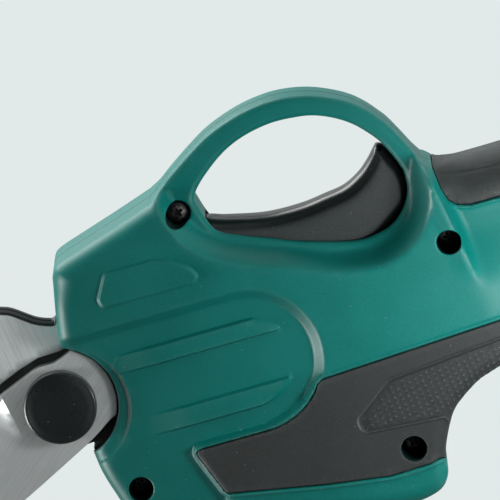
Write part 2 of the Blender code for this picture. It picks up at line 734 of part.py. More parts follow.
def trigger_axis(along, depth=0.0):
    # local +Z runs to the trigger side
    spin = Matrix(((0, 0, 1), (0, 1, 0), (-1, 0, 0)))
    return Matrix.Translation(at(along, 0, depth)) @ spin.to_4x4()


def upright(x, y):
    return Matrix.Translation((x, y, 0))


def rod(radius, start, end):
    return [(0, start), (radius, start), (radius, end), (0, end)]


def pipe(bore, radius, start, end):
    return [(bore, start), (radius, start), (radius, end), (bore, end)]


def clear_scene():
    for part in list(bpy.data.objects):
        bpy.data.objects.remove(part)


def set_origin(part, point):
    part.data.transform(Matrix.Translation(-Vector(point)))
    part.location = point
    return part


# Housing

def front_runs(has_nose):
    if not has_nose:
        return [FRONT]
    turn = math.degrees(math.asin(0.0060 / NOSE_RADIUS))
    nose = [tuple(p) for p in circle_loop((0, 0), NOSE_RADIUS, 11, -90.0 - turn + 46.0, -270.0 + turn - 46.0)]
    return [FRONT[:2], [FRONT[1], nose[0]], nose, [nose[-1], FRONT[3]], FRONT[3:]]


def outer_loop(has_nose=False):
    runs = front_runs(has_nose) + [HEAD_TOP, GUARD_OUTER, FINGER_SIDE, FOOT_NOSE,
            [(FOOT_TOP + 0.006, FOOT_FRONT), (FOOT_END, FOOT_FRONT)],
            [(FOOT_END, FOOT_FRONT), (FOOT_END, FOOT_BACK)],
            [(FOOT_END, FOOT_BACK), (FOOT_TOP + 0.006, FOOT_BACK)], FOOT_HEEL,
            [(FOOT_TOP, FOOT_BACK + 0.006), (FOOT_TOP, FOOT_BACK + 0.026)], PALM_SIDE, CHIN]
    return loop_from(runs, TRACE_STEP)


def opening_loop():
    return loop_from([GUARD_INNER, SLOT_LINE], TRACE_STEP * 0.8)


def core_loop(step):
    runs = [FRONT, HEAD_TOP, GUARD_ROOT, list(reversed(SLOT_LINE)), GUARD_LEG, FINGER_SIDE,
            FOOT_NOSE, [(FOOT_TOP + 0.006, FOOT_FRONT), (FOOT_END, FOOT_FRONT)],
            [(FOOT_END, FOOT_FRONT), (FOOT_END, FOOT_BACK)],
            [(FOOT_END, FOOT_BACK), (FOOT_TOP + 0.006, FOOT_BACK)], FOOT_HEEL,
            [(FOOT_TOP, FOOT_BACK + 0.006), (FOOT_TOP, FOOT_BACK + 0.026)], PALM_SIDE, CHIN]
    return loop_from(runs, step)


def chain(points, step, is_closed=True):
    loop = np.asarray(points, float)
    if is_closed:
        loop = np.concatenate([loop, loop[:1]])
    result = []
    for one, two in zip(loop, loop[1:]):
        count = max(1, round(float(np.linalg.norm(two - one)) / step))
        result += [one + (two - one) * k / count for k in range(count)]
    return np.array(result + [loop[-1]])


def face_lines():
    step = 0.0110
    recess = recess_loop()
    lines = [chain(recess, step), chain(recess + outward_normals(recess) * RECESS_RAMP, step)]
    for loop, ramp in ((np.array(PAD), 0.0011), (rib_loop(RIB_UPPER), 0.0010),
                       (rib_loop(RIB_LOWER), 0.0010)):
        lines.append(chain(loop, 0.012))
        lines.append(chain(loop + outward_normals(loop) * ramp * 1.2, 0.012))
    lines.append(chain(PLATEAU[2:18], step, False))
    for share in (1.0, 0.7, 0.45, 0.2, -0.1):
        along = FOOT_TOP - FOOT_FLARE * share
        lines.append(chain([(along, FOOT_BACK), (along, FOOT_FRONT)], step * 0.8, False))
    for past, low in ((0.0, -0.002), (RIDGE_SHARP, 0.006)):
        ends = [(ridge_at(across) + past, across) for across in (low, 0.044)]
        lines.append(chain(ends, step, False))
    return lines


def inset_form(name, side, inset, base):
    # the body without its guard, drawn in on every side
    loop = shifted(core_loop(HOLLOW_STEP), -inset)

    def height(points):
        # it starts to fall before the crest does, so that the wall keeps its thickness
        ahead = half_thickness(points + np.array([0.0140, 0.0]))
        is_crest = (points[:, 0] > 0.112) & (points[:, 0] < 0.142)
        return np.where(is_crest, np.minimum(half_thickness(points), ahead), half_thickness(points)) - inset

    return relief(name, [loop], [], height, base, side, None,
                  lambda p: np.maximum(edge_radius(p) - inset, 0.0006), GRID_STEP * 1.3, (1.0,))


def palm_pad():
    # the palm rubber's outline, with its arc along the recess
    arc = circle_loop(RECESS_END, PALM_ARC, 6, -90.0, -34.0)
    return PALM_PAD + [tuple(p) for p in arc]


def rubber_pocket(name, side, area):
    # everything outside the rubber's seat, over its area
    region = spread_out(area, GAP / 2)
    pocket = slab(name, region, -0.001 * side, side * (BODY_HALF + 0.03), None)
    return cut(pocket, inset_form(name + " core", side, RUBBER + GAP, -0.002), "MANIFOLD")


def rubber_form(name, side, area, depth, spread, look):
    # the outer layer of the body inside an area
    form = relief(name, [outer_loop(), opening_loop()], face_lines(), half_thickness, GAP / 2,
                  side, look, edge_radius)
    region = spread_out(area, spread)
    far = BODY_HALF + 0.03
    combine(form, slab(name + " area", region, 0.0, side * far, None), "INTERSECT", "MANIFOLD")
    return cut(form, inset_form(name + " core", side, depth, -0.002), "MANIFOLD")


def screw_place(number):
    return across_axis(*SCREWS[number])


def seat_depth(number):
    point = np.array([SCREWS[number]])
    return min(SCREW_SEAT, float(half_thickness(point)[0]) - SCREW_COVER)


def cavity_form(side):
    form = inset_form("cavity %d" % side, side, WALL, -0.001)
    for number in range(len(SCREWS)):
        reach = FOOT_HALF + 0.01
        cut(form, turned("boss %d %d" % (side, number), rod(BOSS_RADIUS, -reach, reach),
                         screw_place(number), None, 12))
    pin_place = across_axis(*TRIGGER_PIVOT)
    wall = TRIGGER_HALF + GAP
    pins = [(0, -0.03), (TRIGGER_PIN + 0.002, -0.03), (TRIGGER_PIN + 0.002, -wall), (0, -wall)]
    if side < 0:
        pins = [(radius, -height) for radius, height in reversed(pins)]
    cut(form, turned("pin boss %d" % side, pins, pin_place, None, 16))
    seat = tool_box("spring seat %d" % side, (SPRING_ALONG - 0.004, SPRING_ALONG + 0.004),
                    (SPRING_LOW - 0.003, SPRING_LOW), (-0.03, 0.03), None)
    cut(form, seat)
    for along in (BOARD_START + 0.004, BOARD_END - 0.006):
        low, high = sorted((side * (BOARD_HALF + GAP), side * 0.03))
        cut(form, tool_box("board rib %d" % side, (along, along + 0.002),
                           (BOARD_LOW - 0.020, BOARD_HIGH + 0.020), (low, high), None))
    shelf = tool_box("switch rib %d" % side, (SWITCH_START + 0.004, SWITCH_END - 0.004),
                     (SWITCH_LOW - 0.0030, SWITCH_LOW - GAP), (-0.03, 0.03), None)
    cut(form, shelf)
    floor = tool_box("foot floor %d" % side, (FOOT_END - RAIL_TOP - GAP - WALL, FOOT_END + 0.01),
                     (-0.2, 0.2), (-0.1, 0.1), None)
    return cut(form, floor)


def rail_channel(side, half):
    # the slot that the battery's rail slides into, open to the trigger side
    start = FOOT_CENTRE - RAIL_LENGTH / 2 - GAP
    low = FOOT_END - RAIL_LIP + GAP
    neck = tool_box("rail neck %d" % side, (low - 0.001, FOOT_END + 0.01), (start, 0.2),
                    (-RAIL_NECK / 2 - GAP, RAIL_NECK / 2 + GAP), None)
    head = tool_box("rail head %d" % side, (FOOT_END - RAIL_TOP - GAP, low), (start, 0.2),
                    (-RAIL_HEAD / 2 - GAP, RAIL_HEAD / 2 + GAP), None)
    trim(half, neck)
    trim(half, head)


def make_half(name, side):
    half = relief(name, [outer_loop(side > 0), opening_loop()], face_lines(), half_thickness, GAP / 2,
                  side, GREEN, edge_radius)
    trim(half, cavity_form(side))
    trim(half, rubber_pocket("palm pocket %d" % side, side, palm_pad()))
    trim(half, rubber_pocket("finger pocket %d" % side, side, FINGER_PAD))
    pocket = loop_from([TRIGGER_POCKET + TRIGGER_POCKET[:1]], 0.004)
    reach = TRIGGER_HALF + GAP * 1.5
    trim(half, slab("trigger pocket %d" % side, pocket, -reach, reach, None))
    trim(half, turned("pin bore %d" % side, rod(TRIGGER_PIN + GAP, -0.0125, 0.0125),
                     across_axis(*TRIGGER_PIVOT), None, 16))
    rail_channel(side, half)
    outside = FOOT_HALF + 0.01
    for number in range(len(SCREWS)):
        seat = seat_depth(number)
        if side < 0:
            profile = [(0, -0.01), (SCREW_SHANK + GAP, -0.01), (SCREW_SHANK + GAP, seat),
                       (COUNTERBORE, seat), (COUNTERBORE, outside), (0, outside)]
        else:
            profile = rod(SCREW_SHANK + GAP, -SCREW_BITE - GAP, 0.01)
        trim(half, turned("screw hole %d %d" % (side, number), profile, screw_place(number), None, 16))
    wire = tool_box("wire way %d" % side, (FOOT_END - 0.02, FOOT_END - RAIL_TOP + 0.001),
                    (FOOT_CENTRE - TERMINAL_LENGTH / 2 - GAP, FOOT_CENTRE + TERMINAL_LENGTH / 2 + GAP),
                    (-TERMINAL_HALF - GAP, TERMINAL_HALF + GAP), None)
    trim(half, wire)
    return half


def button_bore(half, side):
    place = upright(PIVOT_X + BUTTON_ACROSS, 0)
    deck = PIVOT_Z - FOOT_TOP
    profile = rod(BUTTON_RADIUS + GAP, deck - BUTTON_DEPTH, deck + 0.01)
    trim(half, turned("button bore %d" % side, profile, place, None, 16))
    lens = upright(PIVOT_X + LENS_ACROSS, 0)
    profile = rod(LENS_RADIUS + GAP, deck - 0.0015, deck + 0.01)
    trim(half, turned("lens bore %d" % side, profile, lens, None, 16))


def make_housing():
    near = make_half("housing_near", -1)
    bite = rod(BITE_RADIUS, -0.0005, 0.05)
    trim(near, turned("blade bite", bite, across_axis(0, 0), None, 40))
    chamfer = [(0, BODY_HALF - 0.0045), (BITE_RADIUS - 0.0005, BODY_HALF - 0.0045),
               (BITE_RADIUS + 0.0032, BODY_HALF + 0.001), (0, BODY_HALF + 0.001)]
    trim(near, turned("bite chamfer", chamfer, across_axis(0, 0), None, 40))
    trim(near, slab("blade slot", BLADE_SLOT, -SHEAR_DEPTH - GAP / 2, -FIXED_FAR + GAP, None))
    far = make_half("housing_far", 1)
    trim(far, slab("nose hollow", arm_loop(2 * GAP), -0.001, ARM_DEPTH + ARM_THICK + 2 * GAP, None))
    for half, side in ((near, -1), (far, 1)):
        button_bore(half, side)
        tidy_edges(half)
    return near, far


def make_grips():
    for side, word in ((-1, "near"), (1, "far")):
        palm = rubber_form("palm_grip_" + word, side, palm_pad(), RUBBER, -GAP / 2, RUBBER_BLACK)
        if side < 0:
            cut(palm, turned("palm well", rod(COUNTERBORE + GAP, 0.0, 0.05), screw_place(2), None, 16))
        rubber_form("finger_grip_" + word, side, FINGER_PAD, RUBBER, -GAP / 2, RUBBER_BLACK)


def make_screws():
    for number in range(len(SCREWS)):
        seat = seat_depth(number)
        profile = [(0, -SCREW_BITE), (SCREW_SHANK, -SCREW_BITE), (SCREW_SHANK, seat + GAP),
                   (SCREW_HEAD, seat + GAP), (SCREW_HEAD, seat + 0.0018),
                   (SCREW_HEAD - 0.0010, seat + 0.0026), (0, seat + 0.0026)]
        turned("housing_screw_%d" % (number + 1), profile, screw_place(number), DARK_STEEL, 12)


# Blades

def moving_loop():
    hub = circle_loop((0, 0), HUB_RADIUS, 12, -25.2, 63.0)
    hub = [tuple(p) for p in hub]
    runs = [CUTTING_EDGE, BLADE_BACK, [BLADE_BACK[-1], HUB_NOTCH[0]], HUB_NOTCH]
    loop = [tuple(p) for p in loop_from(runs, 0.004)]
    loop += hub + [tuple(p) for p in loop_from([HUB_FRONT], 0.004)]
    return np.array(loop)


def blade_tang_loop():
    return loop_from([HOOK_OUTER, HOOK_INNER, HOOK_TANG], 0.004)


def grind(edge, heel):
    # how thick a ground blade is at each point, from the edge up to the heel line
    def thick(points):
        to_edge = distance_to(points, edge, False)
        to_heel = distance_to(points, heel, False)
        side = is_inside(points, np.concatenate([edge, heel[::-1]]))
        share = np.where(side, to_edge / np.maximum(to_edge + to_heel, 1e-9), 1.0)
        share = np.where(to_edge < 1e-5, 0.0, share)
        return SHEAR_DEPTH + GAP / 2 + EDGE_THICK + (BLADE_THICK - EDGE_THICK) * share
    return thick


def make_moving_blade():
    edge = loop_from([CUTTING_EDGE], 0.004)
    edge = np.concatenate([edge, [CUTTING_EDGE[-1]]])
    heel = chain(BEVEL_HEEL, 0.006, False)
    thick = grind(edge, heel)
    blade = relief("moving_blade", [moving_loop()], [heel], thick, SHEAR_DEPTH + GAP / 2, -1,
                   STEEL, None, 0.02)
    cut(blade, turned("blade hole", rod(SHAFT_RADIUS + GAP, 0, 0.04), across_axis(0, 0), None, 24))
    return set_origin(blade, at(0, 0, 0))


def make_fixed_blade():
    blade = slab("fixed_blade", blade_tang_loop(), -SHEAR_DEPTH + GAP / 2, -FIXED_FAR, STEEL)
    cut(blade, turned("hook hole", rod(SHAFT_RADIUS + 2 * GAP, 0, 0.04), across_axis(0, 0), None, 24))
    for number, place in enumerate(BLADE_SCREWS):
        hole = turned("tang hole %d" % number, rod(SCREW_SHANK + GAP, 0, 0.04), across_axis(*place), None, 16)
        cut(blade, hole)
        depth = SHEAR_DEPTH
        profile = [(0, FIXED_FAR - 0.0040), (SCREW_SHANK, FIXED_FAR - 0.0040), (SCREW_SHANK, depth + GAP),
                   (0.0030, depth + GAP), (0.0030, depth + 0.0022), (0, depth + 0.0022)]
        turned("blade_screw_%d" % (number + 1), profile, across_axis(*place), DARK_STEEL, 16)


def make_pivot():
    near = MOVING_NEAR + GAP
    shaft = [(0, -ARM_DEPTH - ARM_THICK + GAP), (SHAFT_RADIUS, -ARM_DEPTH - ARM_THICK + GAP),
             (SHAFT_RADIUS, near + WASHER_THICK + NUT_THICK + GAP),
             (0, near + WASHER_THICK + NUT_THICK + GAP)]
    parts = [turned("pivot_shaft", shaft, across_axis(0, 0), STEEL, 24)]
    parts.append(turned("pivot_washer", pipe(SHAFT_RADIUS + GAP, WASHER_RADIUS, near, near + WASHER_THICK),
                        across_axis(0, 0), STEEL, 32))
    low = near + WASHER_THICK + GAP
    nut = turned("pivot_nut", rod(NUT_RADIUS, low, low + NUT_THICK), across_axis(0, 0), DARK_STEEL, 6)
    parts.append(cut(nut, turned("nut bore", rod(SHAFT_RADIUS + GAP, 0, 0.04), across_axis(0, 0), None, 24)))
    dome = [(CAP_RADIUS, near), (CAP_RADIUS, CAP_TOP - 0.0022), (CAP_RADIUS - 0.0007, CAP_TOP - 0.0014),
            (CAP_RADIUS * 0.72, CAP_TOP - 0.0006), (CAP_RADIUS * 0.36, CAP_TOP - 0.0001), (0, CAP_TOP),
            (0, CAP_TOP - CAP_WALL), (CAP_RADIUS - CAP_WALL, CAP_TOP - CAP_WALL - 0.0010),
            (CAP_RADIUS - CAP_WALL, near)]
    parts.append(cap_part(dome))
    for part in parts:
        set_origin(part, at(0, 0, 0))


def cap_part(dome):
    # the rim's ring is closed between the dome's outer and inner walls
    outer = dome[:6]
    cap = turned("pivot_cap", [(0, dome[0][1])] + outer, across_axis(0, 0), PLASTIC_BLACK, 32)
    hollow = [(0, dome[0][1] - 0.001), (CAP_RADIUS - CAP_WALL, dome[0][1] - 0.001),
              (CAP_RADIUS - CAP_WALL, CAP_TOP - CAP_WALL - 0.0010), (0, CAP_TOP - CAP_WALL)]
    return cut(cap, turned("cap hollow", hollow, across_axis(0, 0), None, 32))


# Gears

def tooth_flank(teeth, module, slack, low, high, steps=2):
    # (radius, half angle) pairs up one flank of an involute tooth
    pitch = module * teeth / 2
    base = pitch * math.cos(math.radians(20))
    rest = math.tan(math.radians(20)) - math.radians(20)
    pairs = []
    for k in range(steps):
        radius = low + (high - low) * k / (steps - 1)
        lean = math.acos(min(1.0, base / max(radius, base)))
        half = (math.pi / 2 - slack / module) / teeth + rest - (math.tan(lean) - lean)
        pairs.append((radius, max(half, 0.02 / teeth)))
    return pairs


def gear_points(teeth, module, slack, low, high, phase, steps=2):
    points = []
    flank = tooth_flank(teeth, module, slack, low, high, steps)
    for tooth in range(teeth):
        middle = phase + math.tau * tooth / teeth
        points += [(radius, middle - half) for radius, half in flank]
        points += [(radius, middle + half) for radius, half in reversed(flank)]
    return points


def spur_cutter(name, points, start, end, place, look):
    form = bmesh.new()
    verts = [form.verts.new((r * math.cos(a), r * math.sin(a), start)) for r, a in points]
    face = form.faces.new(verts)
    extruded = bmesh.ops.extrude_face_region(form, geom=[face])
    moved = [v for v in extruded["geom"] if isinstance(v, bmesh.types.BMVert)]
    bmesh.ops.translate(form, verts=moved, vec=(0, 0, end - start))
    bmesh.ops.transform(form, matrix=place, verts=form.verts)
    return object_from(name, form, look)


def bevel_section(teeth, cone, slack, phase, sector, hub):
    # points (radial, axial, angle) of the tooth ends on the outer cone
    spread = BEVEL_MODULE * teeth / 2 / math.sin(cone)
    virtual = teeth / math.cos(cone)
    pitch = BEVEL_MODULE * virtual / 2
    low, high = pitch - 1.15 * BEVEL_MODULE, pitch + 0.9 * BEVEL_MODULE
    flank = tooth_flank(virtual, BEVEL_MODULE, slack, low, high)
    points = []
    for tooth in range(teeth):
        middle = phase + math.tau * tooth / teeth
        turn = math.degrees(math.remainder(middle, math.tau))
        sides = [(radius, -half) for radius, half in flank]
        sides += [(radius, half) for radius, half in reversed(flank)]
        if sector and not sector[0] < turn < sector[1]:
            sides = [(pitch, 0.0)]
        for radius, half in sides:
            height = radius - pitch
            radial = spread * math.sin(cone) + height * math.cos(cone)
            axial = spread * math.cos(cone) - height * math.sin(cone)
            if sector and not sector[0] < turn < sector[1]:
                radial, axial = hub, axial
            points.append((radial, axial, middle + half / math.cos(cone)))
    return points


def bevel_gear(name, teeth, cone, slack, phase, back, place, look, sector=None, hub=0.0, back_radius=None):
    spread = BEVEL_MODULE * teeth / 2 / math.sin(cone)
    inner = (spread - BEVEL_FACE) / spread
    points = bevel_section(teeth, cone, slack, phase, sector, hub)
    form = bmesh.new()

    def ring(scale, radius=None, height=None):
        verts = []
        for radial, axial, angle in points:
            is_hub = sector and abs(radial - hub) < 1e-9
            r = radial if is_hub else radial * scale
            if radius is not None and not is_hub:
                r = min(radius, radial)
            z = axial * scale if height is None else height
            if is_hub and height is None:
                z = spread * math.cos(cone) * inner if scale < 1 else spread * math.cos(cone)
            verts.append(form.verts.new((r * math.cos(angle), r * math.sin(angle), z)))
        return verts

    rings = [ring(inner), ring(1.0), ring(1.0, back_radius, back)]
    for low, high in zip(rings, rings[1:]):
        for i in range(len(low)):
            k = (i + 1) % len(low)
            form.faces.new([low[i], low[k], high[k], high[i]])
    for ends, height in ((rings[0], spread * math.cos(cone) * inner), (rings[-1], back)):
        centre = form.verts.new((0, 0, height))
        for i in range(len(ends)):
            form.faces.new([ends[i], ends[(i + 1) % len(ends)], centre])
    bmesh.ops.triangulate(form, faces=form.faces)
    bmesh.ops.transform(form, matrix=place, verts=form.verts)
    return object_from(name, form, look)


def make_blade_gear():
    cone = math.atan2(GEAR_TEETH, PINION_TEETH)
    # angle zero of the pivot's axis points to the trigger side, and -90 to the battery
    pitch_turn = math.tau / GEAR_TEETH
    phase = -math.pi / 2 + pitch_turn / 2
    sector = (-90.0 - 20.0, -90.0 + BLADE_SWING + 20.0)
    gear = bevel_gear("blade_gear", GEAR_TEETH, cone, BEVEL_SLACK, phase, GEAR_BACK, across_axis(0, 0),
                      DARK_STEEL, sector, GEAR_HUB, 0.0165)
    cut(gear, turned("gear bore", rod(SHAFT_RADIUS + GAP, -0.01, 0.03), across_axis(0, 0), None, 24))
    return set_origin(gear, at(0, 0, 0))


def make_pinion():
    cone = math.atan2(PINION_TEETH, GEAR_TEETH)
    # angle zero of the tool's axis lies across the tool, and 90 points to the trigger side
    phase = math.pi
    back = BEARING_START - 3 * GAP
    gear = bevel_gear("bevel_pinion", PINION_TEETH, cone, BEVEL_SLACK, phase, back, tool_axis(), STEEL,
                      None, 0.0, 0.0046)
    shaft = turned("pinion shaft", rod(PINION_SHAFT, back - 0.001, RING_START - GAP), tool_axis(), None, 20)
    join(gear, shaft)
    return set_origin(gear, at(0, 0, 0))


def make_train():
    start = RING_START + GAP
    plate_end = start + CARRIER_THICK
    centre = TRAIN_MODULE * (SUN_TEETH + PLANET_TEETH) / 2
    planet_start = plate_end + GAP
    planet_end = planet_start + PLANET_LENGTH
    carrier = turned("planet_carrier", rod(CARRIER_RADIUS, start, plate_end), tool_axis(), STEEL, 32)
    for number in range(PLANET_COUNT):
        angle = math.tau * number / PLANET_COUNT
        place = tool_axis() @ Matrix.Translation((centre * math.cos(angle), centre * math.sin(angle), 0))
        join(carrier, turned("planet pin %d" % number, rod(PIN_RADIUS, start + 0.001, planet_end),
                             place, None, 12))
    set_origin(carrier, at(0, 0, 0))
    high = 0.8 * TRAIN_MODULE
    low = 1.0 * TRAIN_MODULE
    for number in range(PLANET_COUNT):
        angle = math.tau * number / PLANET_COUNT
        pitch = TRAIN_MODULE * PLANET_TEETH / 2
        points = gear_points(PLANET_TEETH, TRAIN_MODULE, TRAIN_SLACK, pitch - low, pitch + high, angle)
        place = tool_axis() @ Matrix.Translation((centre * math.cos(angle), centre * math.sin(angle), 0))
        planet = spur_cutter("planet_%d" % (number + 1), points, planet_start, planet_end, place, BRASS)
        bore = turned("planet bore %d" % number, rod(PIN_RADIUS + GAP, 0, 0.06), place, None, 12)
        cut(planet, bore)
        set_origin(planet, place @ Vector((0, 0, 0)))
    ring = turned("ring_gear", rod(RING_RADIUS, RING_START, RING_START + RING_LENGTH), tool_axis(), STEEL, 32)
    pitch = TRAIN_MODULE * RING_TEETH / 2
    points = gear_points(RING_TEETH, TRAIN_MODULE, -TRAIN_SLACK, pitch - high, pitch + low, 0.0)
    cut(ring, spur_cutter("ring bore", points, 0.0, 0.1, tool_axis(), None))
    return planet_start, planet_end


def make_rotor(planet_start, planet_end):
    pitch = TRAIN_MODULE * SUN_TEETH / 2
    points = gear_points(SUN_TEETH, TRAIN_MODULE, TRAIN_SLACK, pitch - TRAIN_MODULE,
                         pitch + 0.8 * TRAIN_MODULE, 0.0)
    rotor = spur_cutter("motor_rotor", points, planet_start, planet_end + 0.001, tool_axis(), STEEL)
    shaft = turned("rotor shaft", rod(ROTOR_SHAFT, planet_end, MOTOR_END + 0.004), tool_axis(), None, 16)
    core = turned("rotor core", rod(ROTOR_RADIUS, MOTOR_START + 0.006, MOTOR_END - 0.004), tool_axis(),
                  None, 24)
    join(rotor, shaft)
    join(rotor, core)
    return set_origin(rotor, at(0, 0, 0))


def make_motor():
    can = turned("motor_can", rod(MOTOR_RADIUS, MOTOR_START, MOTOR_END), tool_axis(), STEEL, 32)
    inner = MOTOR_RADIUS - MOTOR_WALL
    hollow = [(0, MOTOR_START - 0.01), (ROTOR_SHAFT + GAP, MOTOR_START - 0.01),
              (ROTOR_SHAFT + GAP, MOTOR_START + 0.003), (inner, MOTOR_START + 0.003),
              (inner, MOTOR_END + 0.001), (0, MOTOR_END + 0.001)]
    cut(can, turned("can hollow", hollow, tool_axis(), None, 32))
    turned("motor_stator", pipe(STATOR_BORE, inner - GAP, MOTOR_START + 0.005, MOTOR_END - 0.003),
           tool_axis(), DARK_STEEL, 32)
    end = MOTOR_END + GAP
    cap = turned("motor_end_cap", rod(MOTOR_CAP_RADIUS, end, end + MOTOR_CAP), tool_axis(), PLASTIC_BLACK, 32)
    cut(cap, turned("cap bore", rod(ROTOR_SHAFT + GAP, end - 0.01, end + MOTOR_CAP - 0.001),
                    tool_axis(), None, 16))


def arm_loop(spread):
    # the bearing arm's outline, round about the pivot
    half = ARM_HALF + spread
    arc = [tuple(p) for p in circle_loop((0, 0), half, 13, 90.0, 270.0)]
    return np.array(arc + [(RING_START + 0.001, -half), (RING_START + 0.001, half)])


def make_gear_case():
    case = turned("gear_case", rod(CASE_RADIUS, RING_START - 0.0020, CASE_END), tool_axis(), DARK_STEEL, 32)
    collar = rod(CASE_COLLAR, BEARING_START - 2 * GAP, RING_START)
    join(case, turned("case collar", collar, tool_axis(), None, 32), "MANIFOLD")
    for number, (along, across) in enumerate(BLADE_SCREWS):
        low, high = sorted((across * 0.4, across + math.copysign(0.0055, across)))
        ear = tool_box("ear %d" % number, (along - 0.0040, along + 0.0060), (low, high),
                       (-FIXED_FAR + GAP, -FIXED_FAR + GAP + 0.0055), None)
        join(case, ear, "MANIFOLD")
        trim(case, turned("ear hole %d" % number, rod(SCREW_SHANK + GAP, FIXED_FAR - 0.0045, 0.02),
                         across_axis(along, across), None, 12))
    join(case, slab("arm", arm_loop(0.0), ARM_DEPTH, ARM_DEPTH + ARM_THICK, None), "MANIFOLD")
    chamber = rod(RING_RADIUS + GAP, RING_START - GAP, CASE_END + 0.001)
    trim(case, turned("ring chamber", chamber, tool_axis(), None, 32))
    room, bore = BEARING_RADIUS + GAP, PINION_SHAFT + 2 * GAP
    mouth, seat = BEARING_START - 0.0020, BEARING_START + BEARING_LENGTH
    profile = [(0, mouth), (room, mouth), (room, seat), (bore, seat), (bore, RING_START + 0.001),
               (0, RING_START + 0.001)]
    trim(case, turned("bearing seat", profile, tool_axis(), None, 32))
    trim(case, turned("arm bore", rod(SHAFT_RADIUS + GAP, -0.02, 0.0), across_axis(0, 0), None, 24))
    turned("pinion_bearing", pipe(PINION_SHAFT + GAP, BEARING_RADIUS, BEARING_START,
                                  BEARING_START + BEARING_LENGTH - GAP), tool_axis(), STEEL, 28)


# Trigger

def make_trigger():
    runs = [TRIGGER_CROWN, TRIGGER_TAIL, TRIGGER_UNDER]
    loop = loop_from(runs, 0.004)
    top = relief("trigger", [loop], [], lambda p: np.full(len(p), TRIGGER_HALF),
                 lambda p: -np.full(len(p), TRIGGER_HALF) + edge_drop(p, loop), -1, PLASTIC_BLACK,
                 lambda p: np.full(len(p), TRIGGER_EDGE), 0.012)
    bore = rod(TRIGGER_PIN + GAP, -0.02, 0.02)
    cut(top, turned("trigger bore", bore, across_axis(*TRIGGER_PIVOT), None, 16))
    set_origin(top, at(*TRIGGER_PIVOT, 0))
    pin = rod(TRIGGER_PIN, -0.0122, 0.0122)
    turned("trigger_pin", pin, across_axis(*TRIGGER_PIVOT), STEEL, 16)


def edge_drop(points, loop):
    clear = np.minimum(distance_to(points, loop), TRIGGER_EDGE)
    return TRIGGER_EDGE - np.sqrt(np.maximum(TRIGGER_EDGE ** 2 - (TRIGGER_EDGE - clear) ** 2, 0))


def make_switch():
    switch = tool_box("trigger_switch", (SWITCH_START, SWITCH_END), (SWITCH_LOW, SWITCH_HIGH),
                      (-SWITCH_HALF, SWITCH_HALF), PLASTIC_BLACK)
    bore = rod(PLUNGER_RADIUS + GAP, SWITCH_HIGH - 0.009, 0.03)
    cut(switch, turned("plunger bore", bore, trigger_axis(PLUNGER_ALONG), None, 16))
    plunger = rod(PLUNGER_RADIUS, SWITCH_HIGH - 0.0015, PLUNGER_TOP)
    turned("switch_plunger", plunger, trigger_axis(PLUNGER_ALONG), STEEL, 16)
    coil("trigger_spring", SPRING_RADIUS, SPRING_WIRE, SPRING_CURLS, SPRING_LOW + GAP, SPRING_TOP,
         trigger_axis(SPRING_ALONG))


def coil(name, radius, wire, curls, low, high, place):
    # one unbroken tube wound about the local Z axis
    sides = 5
    steps = curls * 8
    mean = radius - wire / 2
    form = bmesh.new()
    rings = []
    for i in range(steps + 1):
        angle = math.tau * curls * i / steps
        height = low + wire / 2 + (high - low - wire) * i / steps
        middle = Vector((mean * math.cos(angle), mean * math.sin(angle), height))
        out = Vector((math.cos(angle), math.sin(angle), 0))
        ring = []
        for k in range(sides):
            turn = math.tau * k / sides
            offset = out * math.cos(turn) + Vector((0, 0, 1)) * math.sin(turn)
            ring.append(form.verts.new(place @ (middle + offset * wire / 2)))
        rings.append(ring)
    for one, two in zip(rings, rings[1:]):
        for k in range(sides):
            n = (k + 1) % sides
            form.faces.new([one[k], one[n], two[n], two[k]])
    form.faces.new(rings[0])
    form.faces.new(list(reversed(rings[-1])))
    return smooth_shade(object_from(name, form, STEEL), 60.0)


# Electronics

def make_electronics():
    tool_box("controller_board", (BOARD_START, BOARD_END), (BOARD_LOW, BOARD_HIGH),
             (-BOARD_HALF, BOARD_HALF), BOARD_GREEN)
    tool_box("heat_sink", (BOARD_START + 0.006, BOARD_END - 0.012), (BOARD_LOW + 0.004, BOARD_HIGH - 0.004),
             (BOARD_HALF + GAP, BOARD_HALF + GAP + SINK_DEPTH), STEEL)
    roof = FOOT_END - RAIL_TOP
    block = tool_box("terminal_block", (roof - TERMINAL_HEIGHT, roof - GAP),
                     (FOOT_CENTRE - TERMINAL_LENGTH / 2, FOOT_CENTRE + TERMINAL_LENGTH / 2),
                     (-TERMINAL_HALF, TERMINAL_HALF), PLASTIC_BLACK)
    for number in (-1, 0, 1):
        depth = number * CONTACT_PITCH
        contact = tool_box("contact %d" % number, (roof - 0.001, roof + CONTACT_RISE - 0.001),
                           (FOOT_CENTRE - CONTACT_LENGTH / 2, FOOT_CENTRE + CONTACT_LENGTH / 2),
                           (depth - CONTACT_THICK / 2, depth + CONTACT_THICK / 2), None)
        join(block, contact)
    deck = PIVOT_Z - FOOT_TOP
    place = upright(PIVOT_X + BUTTON_ACROSS, 0)
    floor = deck - BUTTON_DEPTH
    low = floor + BUTTON_TRAVEL + 4 * SMALL_WIRE
    button = turned("power_button", rod(BUTTON_RADIUS, low, deck + BUTTON_PROUD), place, PLASTIC_BLACK, 24)
    rounded(button, 0.0006, 2)
    coil("power_spring", BUTTON_RADIUS * 0.7, SMALL_WIRE, 2, floor + GAP, low - GAP, place)
    lens = turned("indicator_lens", rod(LENS_RADIUS, deck - 0.0015 + GAP, deck + 0.0004),
                  upright(PIVOT_X + LENS_ACROSS, 0), LENS_CLEAR, 16)
    return button, lens


# Battery

